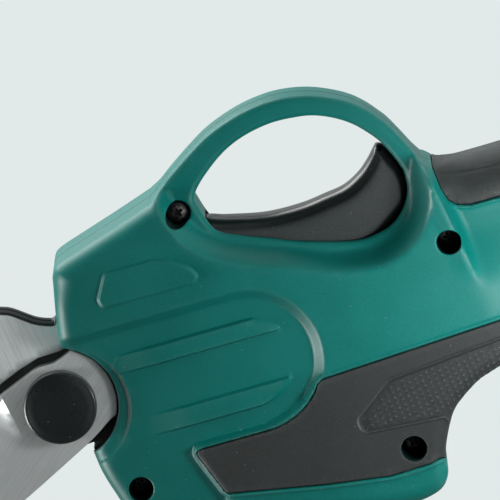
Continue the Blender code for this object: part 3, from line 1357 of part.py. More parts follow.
def make_battery():
    half_length = BATTERY_LENGTH / 2
    half_width = BATTERY_WIDTH / 2
    wall = BATTERY_WALL
    lower = box("battery_lower", (-half_length, -half_width, 0), (half_length, half_width, BATTERY_SPLIT),
                PLASTIC_BLACK)
    rounded(lower, 0.005, 3, 60.0)
    room = CELL_PITCH * CELL_COUNT / 2 + GAP
    cut(lower, box("lower room", (-room, -CELL_LENGTH / 2 - GAP, CELL_HEIGHT - CELL_RADIUS - GAP),
                   (room, CELL_LENGTH / 2 + GAP, 0.1), None))
    upper = box("battery_upper", (-half_length, -half_width, BATTERY_SPLIT + GAP),
                (half_length, half_width, BATTERY_HEIGHT), PLASTIC_BLACK)
    rounded(upper, 0.004, 3, 60.0)
    rail = RAIL_LENGTH / 2
    top = BATTERY_HEIGHT
    join(upper, box("rail stem", (-rail, -RAIL_NECK / 2, top - 0.001),
                    (rail, RAIL_NECK / 2, top + RAIL_LIP + 0.001), None))
    join(upper, box("rail flange", (-rail, -RAIL_HEAD / 2, top + RAIL_LIP + GAP),
                    (rail, RAIL_HEAD / 2, top + RAIL_TOP), None))
    over_cells = CELL_HEIGHT + CELL_RADIUS + GAP
    deep = CELL_LENGTH / 2 + GAP
    cut(upper, box("cell room", (-room, -deep, 0), (room, deep, over_cells), None))
    end = half_length - LATCH_ROOM - wall
    cut(upper, box("upper room", (-room, -deep, BATTERY_SPLIT / 2), (end, deep, top - wall), None))
    for number in (-1, 0, 1):
        depth = number * CONTACT_PITCH
        wide = CONTACT_THICK / 2 + 2 * GAP
        slot_floor = top + RAIL_TOP - CONTACT_RISE - 4 * GAP
        cut(upper, box("contact slot %d" % number, (-rail - 0.001, depth - wide, slot_floor),
                       (CONTACT_LENGTH / 2 + 4 * GAP, depth + wide, top + 2 * RAIL_TOP), None))
    for number in range(CELL_COUNT):
        x = (number - (CELL_COUNT - 1) / 2) * CELL_PITCH
        place = Matrix.Translation((x, 0, CELL_HEIGHT)) @ Matrix.Rotation(math.pi / 2, 4, "X")
        body = rod(CELL_RADIUS, -CELL_LENGTH / 2, CELL_LENGTH / 2)
        turned("cell_%d" % (number + 1), body, place, CELL_BLUE, 24)
    box("battery_board", (-room + wall, -PACK_BOARD_HALF, over_cells),
        (end - wall, PACK_BOARD_HALF, over_cells + PACK_BOARD), BOARD_GREEN)
    return lower, upper


def make_latch(upper):
    front = BATTERY_LENGTH / 2
    low = BATTERY_SPLIT + 0.0034
    high = low + LATCH_HEIGHT
    reach = front - LATCH_ROOM
    window = box("latch window", (reach, -LATCH_HALF - GAP, low - GAP),
                 (front + 0.01, LATCH_HALF + GAP, high + GAP), None)
    cut(upper, window)
    back = front - LATCH_DEPTH
    button = box("latch_button", (back, -LATCH_HALF, low), (front + LATCH_PROUD, LATCH_HALF, high),
                 PLASTIC_BLACK)
    spin = Matrix(((0, 0, 1), (0, 1, 0), (-1, 0, 0))).to_4x4()
    place = Matrix.Translation((0, 0, (low + high) / 2)) @ spin
    coil("latch_spring", LATCH_HEIGHT * 0.35, SMALL_WIRE, 3, reach + GAP, back - GAP, place)
    return rounded(button, 0.0008, 2)


def main():
    clear_scene()
    make_housing()
    make_grips()
    make_screws()
    make_moving_blade()
    make_fixed_blade()
    make_pivot()
    make_blade_gear()
    make_pinion()
    planet_start, planet_end = make_train()
    make_rotor(planet_start, planet_end)
    make_motor()
    make_gear_case()
    make_trigger()
    make_switch()
    make_electronics()
    lower, upper = make_battery()
    make_latch(upper)


main()
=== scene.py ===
import json
import math

import bpy
import numpy as np
from mathutils import Matrix, Vector
from mathutils.geometry import delaunay_2d_cdt


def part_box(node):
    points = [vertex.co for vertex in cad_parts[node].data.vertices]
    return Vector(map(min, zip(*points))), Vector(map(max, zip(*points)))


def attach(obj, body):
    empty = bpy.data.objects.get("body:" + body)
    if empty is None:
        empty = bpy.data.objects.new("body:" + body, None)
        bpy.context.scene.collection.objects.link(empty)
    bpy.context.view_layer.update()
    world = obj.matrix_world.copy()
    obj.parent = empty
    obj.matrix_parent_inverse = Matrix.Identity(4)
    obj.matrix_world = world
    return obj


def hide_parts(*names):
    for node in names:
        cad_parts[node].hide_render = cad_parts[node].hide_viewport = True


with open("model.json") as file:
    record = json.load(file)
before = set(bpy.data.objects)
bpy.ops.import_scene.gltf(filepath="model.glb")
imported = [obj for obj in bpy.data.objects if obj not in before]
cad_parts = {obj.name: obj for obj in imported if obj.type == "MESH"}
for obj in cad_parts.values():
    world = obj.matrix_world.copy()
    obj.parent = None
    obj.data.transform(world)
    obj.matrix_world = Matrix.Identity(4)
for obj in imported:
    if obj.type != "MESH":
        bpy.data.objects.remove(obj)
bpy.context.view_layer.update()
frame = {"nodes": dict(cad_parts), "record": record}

print("frame loaded:", len(frame["nodes"]), "solids")

# A point of the tool is (along, across): along from the blade pivot down to the battery,
# across from the pivot to the trigger side. Depth is measured from the parting plane.
tool = {
    "pivotX": -0.014,
    "pivotZ": 0.2463,
    "gap": 0.0003,                      # air between separate pieces
    "traceStep": 0.0011,                # point spacing along outlines
    "faceStep": 0.0018,                 # point spacing on the faces
    "insideStep": 0.004,                # point spacing of the hollow
    "insideFace": 0.0055,
    "cutReach": 0.055,                  # how far out a cutter reaches
    "footAcross": 0.014,                # middle of the foot and the battery
}


def at(along, across, depth=0.0):
    return Vector((tool["pivotX"] + across, depth, tool["pivotZ"] - along))


# Curves and outlines

def ease(value):
    value = np.clip(value, 0.0, 1.0)
    return value * value * (3.0 - 2.0 * value)


def ramped(value, soft=0.22):           # a straight slope with rounded ends
    value = np.clip(value, 0.0, 1.0)
    whole = 2 * soft * (1 - soft)
    middle = (value - soft / 2) / (1 - soft)
    upper = np.where(value > 1 - soft, 1 - (1 - value) ** 2 / whole, middle)
    return np.where(value < soft, value ** 2 / whole, upper)


def rimRise(away, radius):              # how far a rounded rim has come up, by the distance from it
    inward = radius - np.clip(away, 0.0, radius)
    return np.sqrt(np.maximum(radius ** 2 - inward ** 2, 0.0))


def roundedRim(away, radius):           # how far it still falls short there
    return radius - rimRise(away, radius)


def smoothRun(points, step):            # a soft curve through the points, without its last one
    points = [Vector(p) for p in points]
    last = len(points) - 1
    result = []
    for i in range(last):
        before, start = points[max(i - 1, 0)], points[i]
        end, after = points[i + 1], points[min(i + 2, last)]
        count = max(1, round((end - start).length / step))
        for k in range(count):
            t = k / count
            even = 2 * start + (2 * before - 5 * start + 4 * end - after) * t * t
            odd = (end - before) * t + (3 * start - before - 3 * end + after) * t ** 3
            result.append((even + odd) / 2)
    return result


def loopFrom(runs, step):
    return np.array([tuple(p) for run in runs for p in smoothRun(run, step)])


def arcLoop(centre, radius, count, start=0.0, end=360.0):
    isWhole = end - start > 359.9
    steps = count if isWhole else count - 1
    angles = np.radians(start + (end - start) * np.arange(count) / steps)
    return np.stack([centre[0] + radius * np.cos(angles), centre[1] + radius * np.sin(angles)], 1)


def reachFrom(points, centre):
    return np.hypot(points[:, 0] - centre[0], points[:, 1] - centre[1])


def distanceTo(points, loop, isClosed=True):
    ends = np.roll(loop, -1, 0) if isClosed else loop[1:]
    starts = loop if isClosed else loop[:-1]
    run = ends - starts
    square = np.maximum((run * run).sum(1), 1e-18)
    result = []
    for first in range(0, len(points), 1500):   # in batches, to keep the memory small
        offset = points[first:first + 1500, None, :] - starts[None, :, :]
        share = np.clip((offset * run).sum(2) / square, 0, 1)
        nearest = offset - share[:, :, None] * run
        result.append(np.sqrt((nearest ** 2).sum(2)).min(1))
    return np.concatenate(result) if result else np.zeros(0)


def isInside(points, loop):
    x0, y0 = loop[:, 0], loop[:, 1]
    x1, y1 = np.roll(x0, -1), np.roll(y0, -1)
    rise = np.where(np.abs(y1 - y0) < 1e-15, 1e-15, y1 - y0)
    result = []
    for first in range(0, len(points), 3000):
        x, y = points[first:first + 3000, 0:1], points[first:first + 3000, 1:2]
        crosses = (y0 > y) != (y1 > y)
        left = x < (x1 - x0) * (y - y0) / rise + x0
        result.append((crosses & left).sum(1) % 2 == 1)
    return np.concatenate(result) if result else np.zeros(0, bool)


def outwardOf(run, loop):
    x, y = loop[:, 0], loop[:, 1]
    area = (x * np.roll(y, -1) - np.roll(x, -1) * y).sum()
    return np.stack([run[:, 1], -run[:, 0]], 1) * (1 if area > 0 else -1)


def outwardNormals(loop):
    run = np.roll(loop, -1, 0) - np.roll(loop, 1, 0)
    return outwardOf(run / np.linalg.norm(run, axis=1)[:, None], loop)


def shifted(loop, distance):            # moved out, without the points that would fold over
    moved = loop + outwardNormals(loop) * distance
    return moved[distanceTo(moved, loop) > abs(distance) * 0.93]


def spreadOut(area, distance):          # each side moved out, corners kept
    loop = np.array(area, float)
    before = loop - np.roll(loop, 1, 0)
    after = np.roll(loop, -1, 0) - loop
    before /= np.linalg.norm(before, axis=1)[:, None]
    after /= np.linalg.norm(after, axis=1)[:, None]
    along = before + after
    along /= np.linalg.norm(along, axis=1)[:, None]
    halfTurn = np.maximum((along * after).sum(1), 0.4)
    return loop + outwardOf(along, loop) * (distance / halfTurn)[:, None]


def filleted(points, radius, steps=6):  # the outline with its corners rounded
    points = [Vector(p) for p in points]
    result = []
    for i, corner in enumerate(points):
        back, ahead = points[i - 1] - corner, points[(i + 1) % len(points)] - corner
        turn = math.pi - back.angle(ahead)
        if turn < 0.02:
            result.append(corner)
            continue
        cut = min(radius * math.tan(turn / 2), back.length * 0.48, ahead.length * 0.48)
        start, end = corner + back.normalized() * cut, corner + ahead.normalized() * cut
        for k in range(steps + 1):
            t = k / steps
            result.append(start * (1 - t) ** 2 + corner * 2 * t * (1 - t) + end * t * t)
    return withoutRepeats([tuple(p) for p in result])


def withoutRepeats(loop):
    loop = np.asarray(loop, float)
    step = np.linalg.norm(np.roll(loop, -1, 0) - loop, axis=1)
    return loop[step > 1e-6]


def chain(points, step, isClosed=True):
    loop = np.asarray(points, float)
    if isClosed:
        loop = np.concatenate([loop, loop[:1]])
    result = []
    for one, two in zip(loop, loop[1:]):
        count = max(1, round(float(np.linalg.norm(two - one)) / step))
        result += [one + (two - one) * k / count for k in range(count)]
    return np.array(result + [loop[-1]])


def linesBeside(loop, reaches, step):
    return [chain(loop + outwardNormals(loop) * reach, step) for reach in reaches]


# Hands-on helpers

def startFresh():
    if bpy.context.mode != "OBJECT":
        bpy.ops.object.mode_set(mode="OBJECT")
    bpy.ops.object.select_all(action="DESELECT")


def pick(piece):
    startFresh()
    piece.select_set(True)
    bpy.context.view_layer.objects.active = piece
    return piece


def faceOut():                          # in edit mode: all faces turned out, then back
    bpy.ops.mesh.select_all(action="SELECT")
    bpy.ops.mesh.normals_make_consistent(inside=False)
    bpy.ops.object.mode_set(mode="OBJECT")


def closeUp(piece, degrees=32.0, merge=0.000012):
    pick(piece)                         # doubles merged, faces turned out, soft shading
    bpy.ops.object.mode_set(mode="EDIT")
    bpy.ops.mesh.select_all(action="SELECT")
    bpy.ops.mesh.remove_doubles(threshold=merge)
    faceOut()
    bpy.ops.object.shade_smooth_by_angle(angle=math.radians(degrees))
    return piece


def carve(piece, cutter, operation="DIFFERENCE", solver="MANIFOLD"):
    pick(piece)
    step = piece.modifiers.new("cut", "BOOLEAN")
    step.operation, step.object, step.solver = operation, cutter, solver
    bpy.ops.object.modifier_apply(modifier=step.name)
    bpy.data.objects.remove(cutter)
    return piece


def copyOf(piece, name):
    twin = piece.copy()
    twin.data = piece.data.copy()
    twin.name = name
    bpy.context.collection.objects.link(twin)
    return twin


def fromFaces(name, points, faces):
    mesh = bpy.data.meshes.new(name)
    mesh.from_pydata(points, [], faces)
    piece = bpy.data.objects.new(name, mesh)
    bpy.context.collection.objects.link(piece)
    return piece


def facesBetween(points, chains, loops):
    corners = [Vector(p) for p in points]
    verts, _, faces, _, _, _ = delaunay_2d_cdt(corners, chains, [], 0, 1e-7)
    flat = np.array([tuple(v) for v in verts])
    middles = np.array([flat[list(face)].mean(0) for face in faces])
    keep = isInside(middles, loops[0])
    for hole in loops[1:]:
        keep &= ~isInside(middles, hole)
    return flat, [faces[i] for i in range(len(faces)) if keep[i]]


def reliefPiece(name, loops, lines, top, base, side, edge=None, grid=None, shares=(1.0,)):
    # a body between the parting plane (or a shaped base) and a shaped face, side -1 near, 1 far
    grid = grid or tool["faceStep"]
    loops = [np.asarray(loop, float) for loop in loops]
    rims = np.concatenate(loops)
    points = [tuple(p) for p in rims]
    chains, start = [], 0
    for loop in loops:
        count = len(loop)
        chains += [(start + i, start + (i + 1) % count) for i in range(count)]
        start += count

    def clearOf(places):
        return np.min([distanceTo(places, loop) for loop in loops], 0)

    inner = []
    if edge is not None:                # rings of points that round the rim over
        for share in shares:
            for number, loop in enumerate(loops):
                reach = edge(loop)[:, None] * share
                ring = loop - outwardNormals(loop) * reach * (1 if number == 0 else -1)
                inner.append(ring[clearOf(ring) > reach[:, 0] * 0.97])
    inner += [np.asarray(line, float) for line in lines]
    low, high = loops[0].min(0), loops[0].max(0)
    xs = np.arange(low[0] + grid / 2, high[0], grid)
    ys = np.arange(low[1] + grid / 2, high[1], grid * 0.87)
    farAway = [(9.0, 9.0)]              # stands in where the outline has no room for a grid
    field = np.array([(x + (grid / 2 if k % 2 else 0), y)
                      for k, y in enumerate(ys) for x in xs] or farAway)
    limit = grid * 0.4 + (edge(field) if edge is not None else 0.0)
    field = field[clearOf(field) > limit]
    for line in lines:
        if len(field) and len(line) < 3000:
            field = field[distanceTo(field, np.asarray(line, float), False) > grid * 0.4]
    inner.append(field)
    for group in inner:
        if len(group):
            keep = isInside(group, loops[0]) & (clearOf(group) > 0.00004)
            for hole in loops[1:]:
                keep &= ~isInside(group, hole)
            points += [tuple(p) for p in group[keep]]

    flat, faces = facesBetween(points, chains, loops)
    heights = top(flat)
    if edge is not None:
        radius = edge(flat)
        heights = heights - radius + rimRise(clearOf(flat), radius)
    count = len(flat)
    places = [at(p[0], p[1], side * h) for p, h in zip(flat, heights)]
    allFaces = [tuple(face) for face in faces]
    sides = {}
    for face in faces:
        for one, two in zip(face, list(face[1:]) + [face[0]]):
            sides[(one, two)] = sides.get((one, two), 0) + 1
    rim = [pair for pair in sides if (pair[1], pair[0]) not in sides]
    if callable(base):
        places += [at(p[0], p[1], side * h) for p, h in zip(flat, base(flat))]
        allFaces += [tuple(i + count for i in reversed(face)) for face in faces]
        allFaces += [(two, one, one + count, two + count) for one, two in rim]
    else:
        rimFlat, rimFaces = facesBetween([tuple(p) for p in rims], chains[:len(rims)], loops)
        places += [at(p[0], p[1], side * base) for p in rimFlat]
        allFaces += [tuple(i + count for i in reversed(face)) for face in rimFaces]
        below = {(round(p[0], 7), round(p[1], 7)): i + count for i, p in enumerate(rimFlat)}
        key = lambda i: (round(flat[i][0], 7), round(flat[i][1], 7))
        allFaces += [(two, one, below[key(one)], below[key(two)]) for one, two in rim]
    return closeUp(fromFaces(name, places, allFaces), 34.0, 0.000002)


def outlineBlock(name, outline, near, far):
    # a filled ring laid on the outline, then pulled through its thickness
    startFresh()
    bpy.ops.mesh.primitive_circle_add(vertices=len(outline), radius=0.01, fill_type="NGON")
    piece = bpy.context.object
    piece.name = name
    for vertex, (along, across) in zip(piece.data.vertices, outline):
        vertex.co = at(along, across, near)
    bpy.ops.object.mode_set(mode="EDIT")
    bpy.ops.mesh.select_all(action="SELECT")
    bpy.ops.mesh.extrude_region_move(TRANSFORM_OT_translate={"value": (0, far - near, 0)})
    faceOut()
    return piece


def boxBlock(name, low, high):
    startFresh()
    low, high = Vector(low), Vector(high)
    bpy.ops.mesh.primitive_cube_add(size=1.0, location=(low + high) / 2, scale=high - low)
    piece = bpy.context.object
    piece.name = name
    bpy.ops.object.transform_apply(location=True, rotation=True, scale=True)
    return piece


def toolBlock(name, along, across, depth):
    return boxBlock(name, at(along[1], across[0], depth[0]), at(along[0], across[1], depth[1]))


def latheUp(name, profile, place, sides=48):
    # a ring drawn up step by step along its outline of (radius, height) pairs
    startFresh()
    radius, height = profile[0]
    bpy.ops.mesh.primitive_circle_add(vertices=sides, radius=max(radius, 1e-5), fill_type="NGON")
    piece = bpy.context.object
    piece.name = name
    bpy.ops.object.mode_set(mode="EDIT")
    bpy.ops.mesh.select_all(action="SELECT")
    bpy.ops.transform.translate(value=(0, 0, height))
    for nextRadius, nextHeight in profile[1:]:
        rise = (0, 0, nextHeight - height)
        bpy.ops.mesh.extrude_region_move(TRANSFORM_OT_translate={"value": rise})
        share = max(nextRadius, 1e-5) / max(radius, 1e-5)
        bpy.ops.transform.resize(value=(share, share, 1), center_override=(0, 0, nextHeight))
        radius, height = nextRadius, nextHeight
    bpy.ops.object.mode_set(mode="OBJECT")
    piece.matrix_world = place
    bpy.ops.object.transform_apply(location=True, rotation=True, scale=True)
    return closeUp(piece, 35.0)


def acrossAxis(along, across):          # local +Z runs to the near side
    spin = Matrix(((1, 0, 0), (0, 0, -1), (0, 1, 0)))
    return Matrix.Translation(at(along, across, 0)) @ spin.to_4x4()


def rod(radius, start, end):
    return [(radius, start), (radius, end)]


def softEdges(piece, width, segments=3, sharp=40.0, smooth=35.0, merge=0.000012):
    pick(piece)
    bpy.ops.object.mode_set(mode="EDIT")
    bpy.ops.mesh.select_mode(type="EDGE")
    bpy.ops.mesh.select_all(action="DESELECT")
    bpy.ops.mesh.edges_select_sharp(sharpness=math.radians(sharp))
    bpy.ops.mesh.bevel(offset=width, segments=segments, affect="EDGES", clamp_overlap=True)
    bpy.ops.mesh.select_mode(type="VERT")
    bpy.ops.object.mode_set(mode="OBJECT")
    return closeUp(piece, smooth, merge)


# Housing

rail = {                                # the battery slides on it along the foot
    "length": 0.080,
    "neck": 0.044,
    "head": 0.052,
    "lip": 0.0046,
    "top": 0.0092,
}
housing = {
    "bodyHalf": 0.0245,                 # half thickness at the head and body
    "guardHalf": 0.0120,
    "handleHalf": 0.0185,
    "footHalf": 0.037,
    "scoopWidth": 0.0066,
    "recessDepth": 0.0033,
    "recessRamp": 0.0041,
    "recessLip": 0.0018,                # the narrower ramp up to the rubber
    "raise": 0.0011,                    # height of the pad, and its rounded corners
    "padCorner": 0.0014,
    "padRamp": 0.0011,
    "ribRaise": 0.0020,
    "ribRamp": 0.0008,
    "ribFade": 0.0160,                  # how slowly a rib rises at its start
    "ribTip": 0.0028,                   # and how fast it falls at its end
    "wall": 0.0030,
    "bodyEdge": 0.0048,                 # edge radii
    "headEdge": 0.0072,
    "guardEdge": 0.0023,
    "palmEdge": 0.0052,
    "handleEdge": 0.0130,
    "footEdge": 0.0070,
    "seamEdge": 0.0015,
    "footTop": 0.190,
    "footEnd": 0.208,
    "footFlare": 0.016,
    "footFront": 0.068,
    "footBack": -0.040,
    "rimRadius": 0.0005,                # rounding around each screw well
    "front": [(0.0095, -0.0342), (0.0063, -0.0215), (0.0050, 0.0), (0.0053, 0.0190),
              (0.0090, 0.0404)],
    "headTop": [(0.0090, 0.0404), (0.0105, 0.0432), (0.0139, 0.0448), (0.0194, 0.0465),
                (0.0334, 0.0508), (0.0454, 0.0547)],
    "guardOuter": [(0.0454, 0.0547), (0.0481, 0.0565), (0.0536, 0.0607), (0.0618, 0.0661),
                   (0.0684, 0.0699), (0.0754, 0.0726), (0.0822, 0.0744), (0.0896, 0.0753),
                   (0.0958, 0.0751), (0.1026, 0.0738), (0.1090, 0.0714), (0.1152, 0.0680),
                   (0.1196, 0.0643), (0.1230, 0.0603), (0.1261, 0.0558), (0.1325, 0.0430)],
    "fingerSide": [(0.1325, 0.0430), (0.1385, 0.0405), (0.1585, 0.0403), (0.176, 0.0410),
                   (0.184, 0.0440), (0.188, 0.0500), (0.1895, 0.0560), (0.190, 0.062)],
    "footNose": [(0.190, 0.062), (0.1918, 0.0662), (0.196, 0.068)],
    "footHeel": [(0.196, -0.040), (0.1918, -0.0382), (0.190, -0.034)],
    "palmSide": [(0.190, -0.014), (0.1875, -0.0095), (0.180, -0.0115), (0.170, -0.0140),
                 (0.1550, -0.0195), (0.1395, -0.0259), (0.1316, -0.0285), (0.1260, -0.0318),
                 (0.1215, -0.0353), (0.1181, -0.0402), (0.1146, -0.0480), (0.1136, -0.0545),
                 (0.1108, -0.0588), (0.1056, -0.0608), (0.0992, -0.0612), (0.0880, -0.0600),
                 (0.0670, -0.0562), (0.0450, -0.0508), (0.0200, -0.0445)],
    "chin": [(0.0200, -0.0445), (0.0146, -0.0430), (0.0115, -0.0395), (0.0095, -0.0342)],
    "guardInner": [(0.0611, 0.0440), (0.0598, 0.0485), (0.0595, 0.0520), (0.0633, 0.0566),
                   (0.0717, 0.0629), (0.0798, 0.0664), (0.0893, 0.0681), (0.0982, 0.0677),
                   (0.1040, 0.0665), (0.1096, 0.0640), (0.1141, 0.0610), (0.1177, 0.0575),
                   (0.1213, 0.0530), (0.1240, 0.0475), (0.1261, 0.0418)],
    "slotLine": [(0.1261, 0.0418), (0.1258, 0.0362), (0.1236, 0.0313), (0.1188, 0.0266),
                 (0.1126, 0.0245), (0.1041, 0.0244), (0.0882, 0.0289), (0.0799, 0.0322),
                 (0.0702, 0.0361), (0.0635, 0.0395), (0.0611, 0.0440)],
    "guardRoot": [(0.0454, 0.0547), (0.0540, 0.0470), (0.0611, 0.0440)],
    "guardLeg": [(0.1261, 0.0418), (0.1290, 0.0425), (0.1325, 0.0430)],
    "plateauEnds": [(0.2500, 0.0900), (0.2500, -0.0900), (-0.030, -0.080), (-0.030, 0.080)],
    "plateauSide": [(0.036, 0.080), (0.0450, 0.0560), (0.0490, 0.0460), (0.0535, 0.0380),
                    (0.0600, 0.0322), (0.0690, 0.0275), (0.0800, 0.0235), (0.0880, 0.0205),
                    (0.0960, 0.0175), (0.1035, 0.0158), (0.1110, 0.0152), (0.1175, 0.0164),
                    (0.1235, 0.0194), (0.1285, 0.0240), (0.1318, 0.0300), (0.1332, 0.0350),
                    (0.1342, 0.0400), (0.1390, 0.0500), (0.1450, 0.0600)],
    "pad": [(0.0225, 0.0280), (0.0520, 0.0280), (0.0536, 0.0295), (0.0516, 0.0324),
            (0.0456, 0.0363), (0.0414, 0.0377), (0.0260, 0.0378), (0.0220, 0.0305)],
    "recessEnd": (0.0624, -0.0025),
    "recessRadius": 0.0200,
    "recessFloor": [(0.0752, -0.0182), (0.0700, -0.0208), (0.0620, -0.0230), (0.0372, -0.0229),
                    (0.0366, -0.0262), (0.0425, -0.0420), (0.0470, -0.0620), (-0.0100, -0.0620)],
    "ribEnd": 0.0142,
    "ribUpper": [(0.0180, 0.0055), (0.0745, 0.0055), (0.0700, 0.0105), (0.0220, 0.0105)],
    "ribLower": [(0.0250, -0.0167), (0.0700, -0.0167), (0.0735, -0.0110), (0.0270, -0.0110)],
    "ridgeAlong": 0.1332,               # where the handle starts, its slant and its blend
    "ridgeAcross": 0.0433,
    "ridgeSlant": 0.164,
    "ridgeBlend": 0.0360,
    "ridgeSharp": 0.0036,
    "ridgeBump": 0.0010,
    "noseRadius": 0.0145,
    "noseSink": 0.0060,                 # where the nose runs into the front
    "noseTrim": 46.0,
    "biteRadius": 0.0186,
    "biteBand": 0.0198,                 # the sunk band around the bite, set off to the lower right
    "biteCentre": (0.0016, -0.0018),
    "biteDrop": 0.0010,
    "wireRoom": (0.0113, 0.0103),       # half the opening for the terminals
}
screw = {
    "places": [(0.0531, 0.0487), (0.1341, 0.0176), (0.1052, -0.0437), (0.0174, -0.0329),
               (0.1830, 0.0050), (0.1985, -0.0330)],
    "well": 0.0040,                     # radius of the well that the head sits in
    "head": 0.0034,
    "shank": 0.0014,
    "seat": 0.0080,
    "cover": 0.0042,                    # least depth of a well
    "boss": 0.0058,
    "bite": 0.0070,
    "palmPlace": 2,                     # this one stands in the palm rubber
}
rubber = {
    "corner": 0.0022,                   # rounding of the outlines below
    "thick": 0.0020,
    "border": 0.00060,                  # rounding on both sides of the joint line
    "lip": 0.0005,                      # the bead of the shell around each rubber
    "lipWidth": 0.0016,
    "palmArc": 0.0226,                  # the palm rubber follows the recess with this radius
    "palm": [(0.0833, -0.0139), (0.1438, -0.0111), (0.1600, -0.0060),
             (0.173, -0.0010), (0.173, -0.0900), (0.1142, -0.0900), (0.1142, -0.0488),
             (0.1084, -0.0499), (0.0954, -0.0502), (0.0750, -0.0472), (0.0433, -0.0412),
             (0.0370, -0.0251)],
    "finger": [(0.1352, 0.0600), (0.1352, 0.0430), (0.1364, 0.0340), (0.1376, 0.0298),
               (0.1398, 0.0277), (0.1440, 0.0265), (0.171, 0.0265), (0.173, 0.0285),
               (0.173, 0.0600)],
    "panel": [(0.1039, -0.0208), (0.0914, -0.0300), (0.0917, -0.0335), (0.1180, -0.0355),
              (0.1290, -0.0600), (0.1700, -0.0400), (0.1600, -0.0110), (0.1420, -0.0175)],
    "panelDepth": 0.00055,
    "panelBead": 0.00045,               # the bead around the panel
    "dotSteps": ((0.0021, 16.0), (0.0018, 99.0)),   # the bumps' two steps: length and slant
    "dotRaise": 0.00050,
    "dotRadius": 0.00052,
    "fold": [(0.1340, 0.0391), (0.1395, 0.0376), (0.1443, 0.0366), (0.1573, 0.0361),
             (0.1740, 0.0372)],
    "foldWidth": 0.0007,
    "foldDepth": 0.0005,
}


def rubberLoop(word):                   # the rounded outline of a grip, or of the palm's panel
    points = list(rubber[word])
    if word == "palm":
        arc = arcLoop(housing["recessEnd"], rubber["palmArc"], 12, -90.0, -34.0)
        points += [tuple(p) for p in arc]
    return filleted(points, rubber["corner"])


def padLoop():
    return filleted(housing["pad"], housing["padCorner"])


def outerLoop(hasNose=False):
    h = housing
    front = [h["front"]]
    if hasNose:                         # the far half's round nose behind the blades
        turn = math.degrees(math.asin(h["noseSink"] / h["noseRadius"]))
        start, end = -90.0 - turn + h["noseTrim"], -270.0 + turn - h["noseTrim"]
        nose = [tuple(p) for p in arcLoop((0.0, 0.0), h["noseRadius"], 25, start, end)]
        front = [h["front"][:2], [h["front"][1], nose[0]], nose, [nose[-1], h["front"][3]],
                 h["front"][3:]]
    runs = front + [h["headTop"], h["guardOuter"]] + lowerRuns()
    return loopFrom(runs, tool["traceStep"])


def lowerRuns():
    h = housing
    top, end, ahead, behind = h["footTop"], h["footEnd"], h["footFront"], h["footBack"]
    return [h["fingerSide"], h["footNose"],
            [(top + 0.006, ahead), (end, ahead)], [(end, ahead), (end, behind)],
            [(end, behind), (top + 0.006, behind)],
            h["footHeel"], [(top, behind + 0.006), (top, behind + 0.026)],
            h["palmSide"], h["chin"]]


def openingLoop():
    return loopFrom([housing["guardInner"], housing["slotLine"]], tool["traceStep"] * 0.9)


def coreLoop(step):
    h = housing
    upper = [h["front"], h["headTop"], h["guardRoot"], list(reversed(h["slotLine"])), h["guardLeg"]]
    return loopFrom(upper + lowerRuns(), step)


def plateauLoop():
    side = [tuple(p) for p in smoothRun(housing["plateauSide"], 0.0015)]
    return np.array(side + housing["plateauEnds"])


def inArea(points, loop, ramp):         # one inside, fading to zero over the ramp outside
    away = np.where(isInside(points, loop), 0.0, distanceTo(points, loop))
    return 1.0 - ease(away / ramp)


def recessLoop():                       # round at the far end, and open down to the chin
    centre, radius = housing["recessEnd"], housing["recessRadius"]
    floor = list(reversed(housing["recessFloor"]))
    arc = [tuple(p) for p in arcLoop(centre, radius, 40, -38.0, 90.0)]
    return np.array(floor + arc + [(-0.010, centre[1] + radius)])


def recessShare(points):
    h = housing
    widening = ease((points[:, 1] + 0.019) / 0.008)
    ramp = h["recessLip"] + (h["recessRamp"] - h["recessLip"]) * widening
    loop = recessLoop()
    away = np.where(isInside(points, loop), 0.0, distanceTo(points, loop))
    return 1.0 - ramped(away / ramp)


def ribShare(points, rib):              # slow rise at the start, quick fall at the tip
    h = housing
    centre = h["recessEnd"]
    rise = ease((points[:, 0] - rib[0][0]) / h["ribFade"])
    tip = ease((h["ribEnd"] + h["ribRamp"] - reachFrom(points, centre)) / h["ribTip"])
    fall = 1.0 - (1.0 - tip) * ease((points[:, 0] - centre[0]) / 0.006)
    return inArea(points, ribLoop(rib), h["ribRamp"]) * rise * fall


def ridgeAt(across):
    return housing["ridgeAlong"] + (housing["ridgeAcross"] - across) * housing["ridgeSlant"]


def handleShare(along, across):         # a crest near the guard that fades out lower down
    h = housing
    past = along - ridgeAt(across)
    step = np.clip(past / h["ridgeSharp"], 0.0, 1.0)
    sharp = 1.0 - (1.0 - step) ** 2 * (1.0 + 0.5 * step)
    soft = ease((past + 0.004) / h["ridgeBlend"])
    return soft + (sharp - soft) * ease((across + 0.001) / 0.022)


def ribLoop(rib):                       # the rib ends on the arc that both ribs share
    centre = housing["recessEnd"]
    loop = []
    for along, across in chain(rib, 0.0015)[:-1]:
        limit = centre[0] + math.sqrt(max(housing["ribEnd"] ** 2 - (across - centre[1]) ** 2, 0.0))
        loop.append((min(along, limit), across))
    return withoutRepeats(loop)


def faceHeight(points):
    h = housing
    along, across = points[:, 0], points[:, 1]
    body = inArea(points, plateauLoop(), h["scoopWidth"])
    height = h["guardHalf"] + (h["bodyHalf"] - h["guardHalf"]) * body
    height = height + (h["handleHalf"] - height) * handleShare(along, across)
    crest = np.exp(-((along - ridgeAt(across) + 0.0012) / 0.0022) ** 2)
    crest = crest * ease((across - 0.002) / 0.010)
    height = height + h["ridgeBump"] * crest
    foot = ease((along - h["footTop"] + h["footFlare"]) / (h["footFlare"] + 0.003))
    height = height + (h["footHalf"] - height) * foot
    height = height - h["recessDepth"] * recessShare(points)
    height = height + h["raise"] * inArea(points, padLoop(), h["padRamp"])
    ribs = ribShare(points, h["ribUpper"]) + ribShare(points, h["ribLower"])
    return height + h["ribRaise"] * ribs


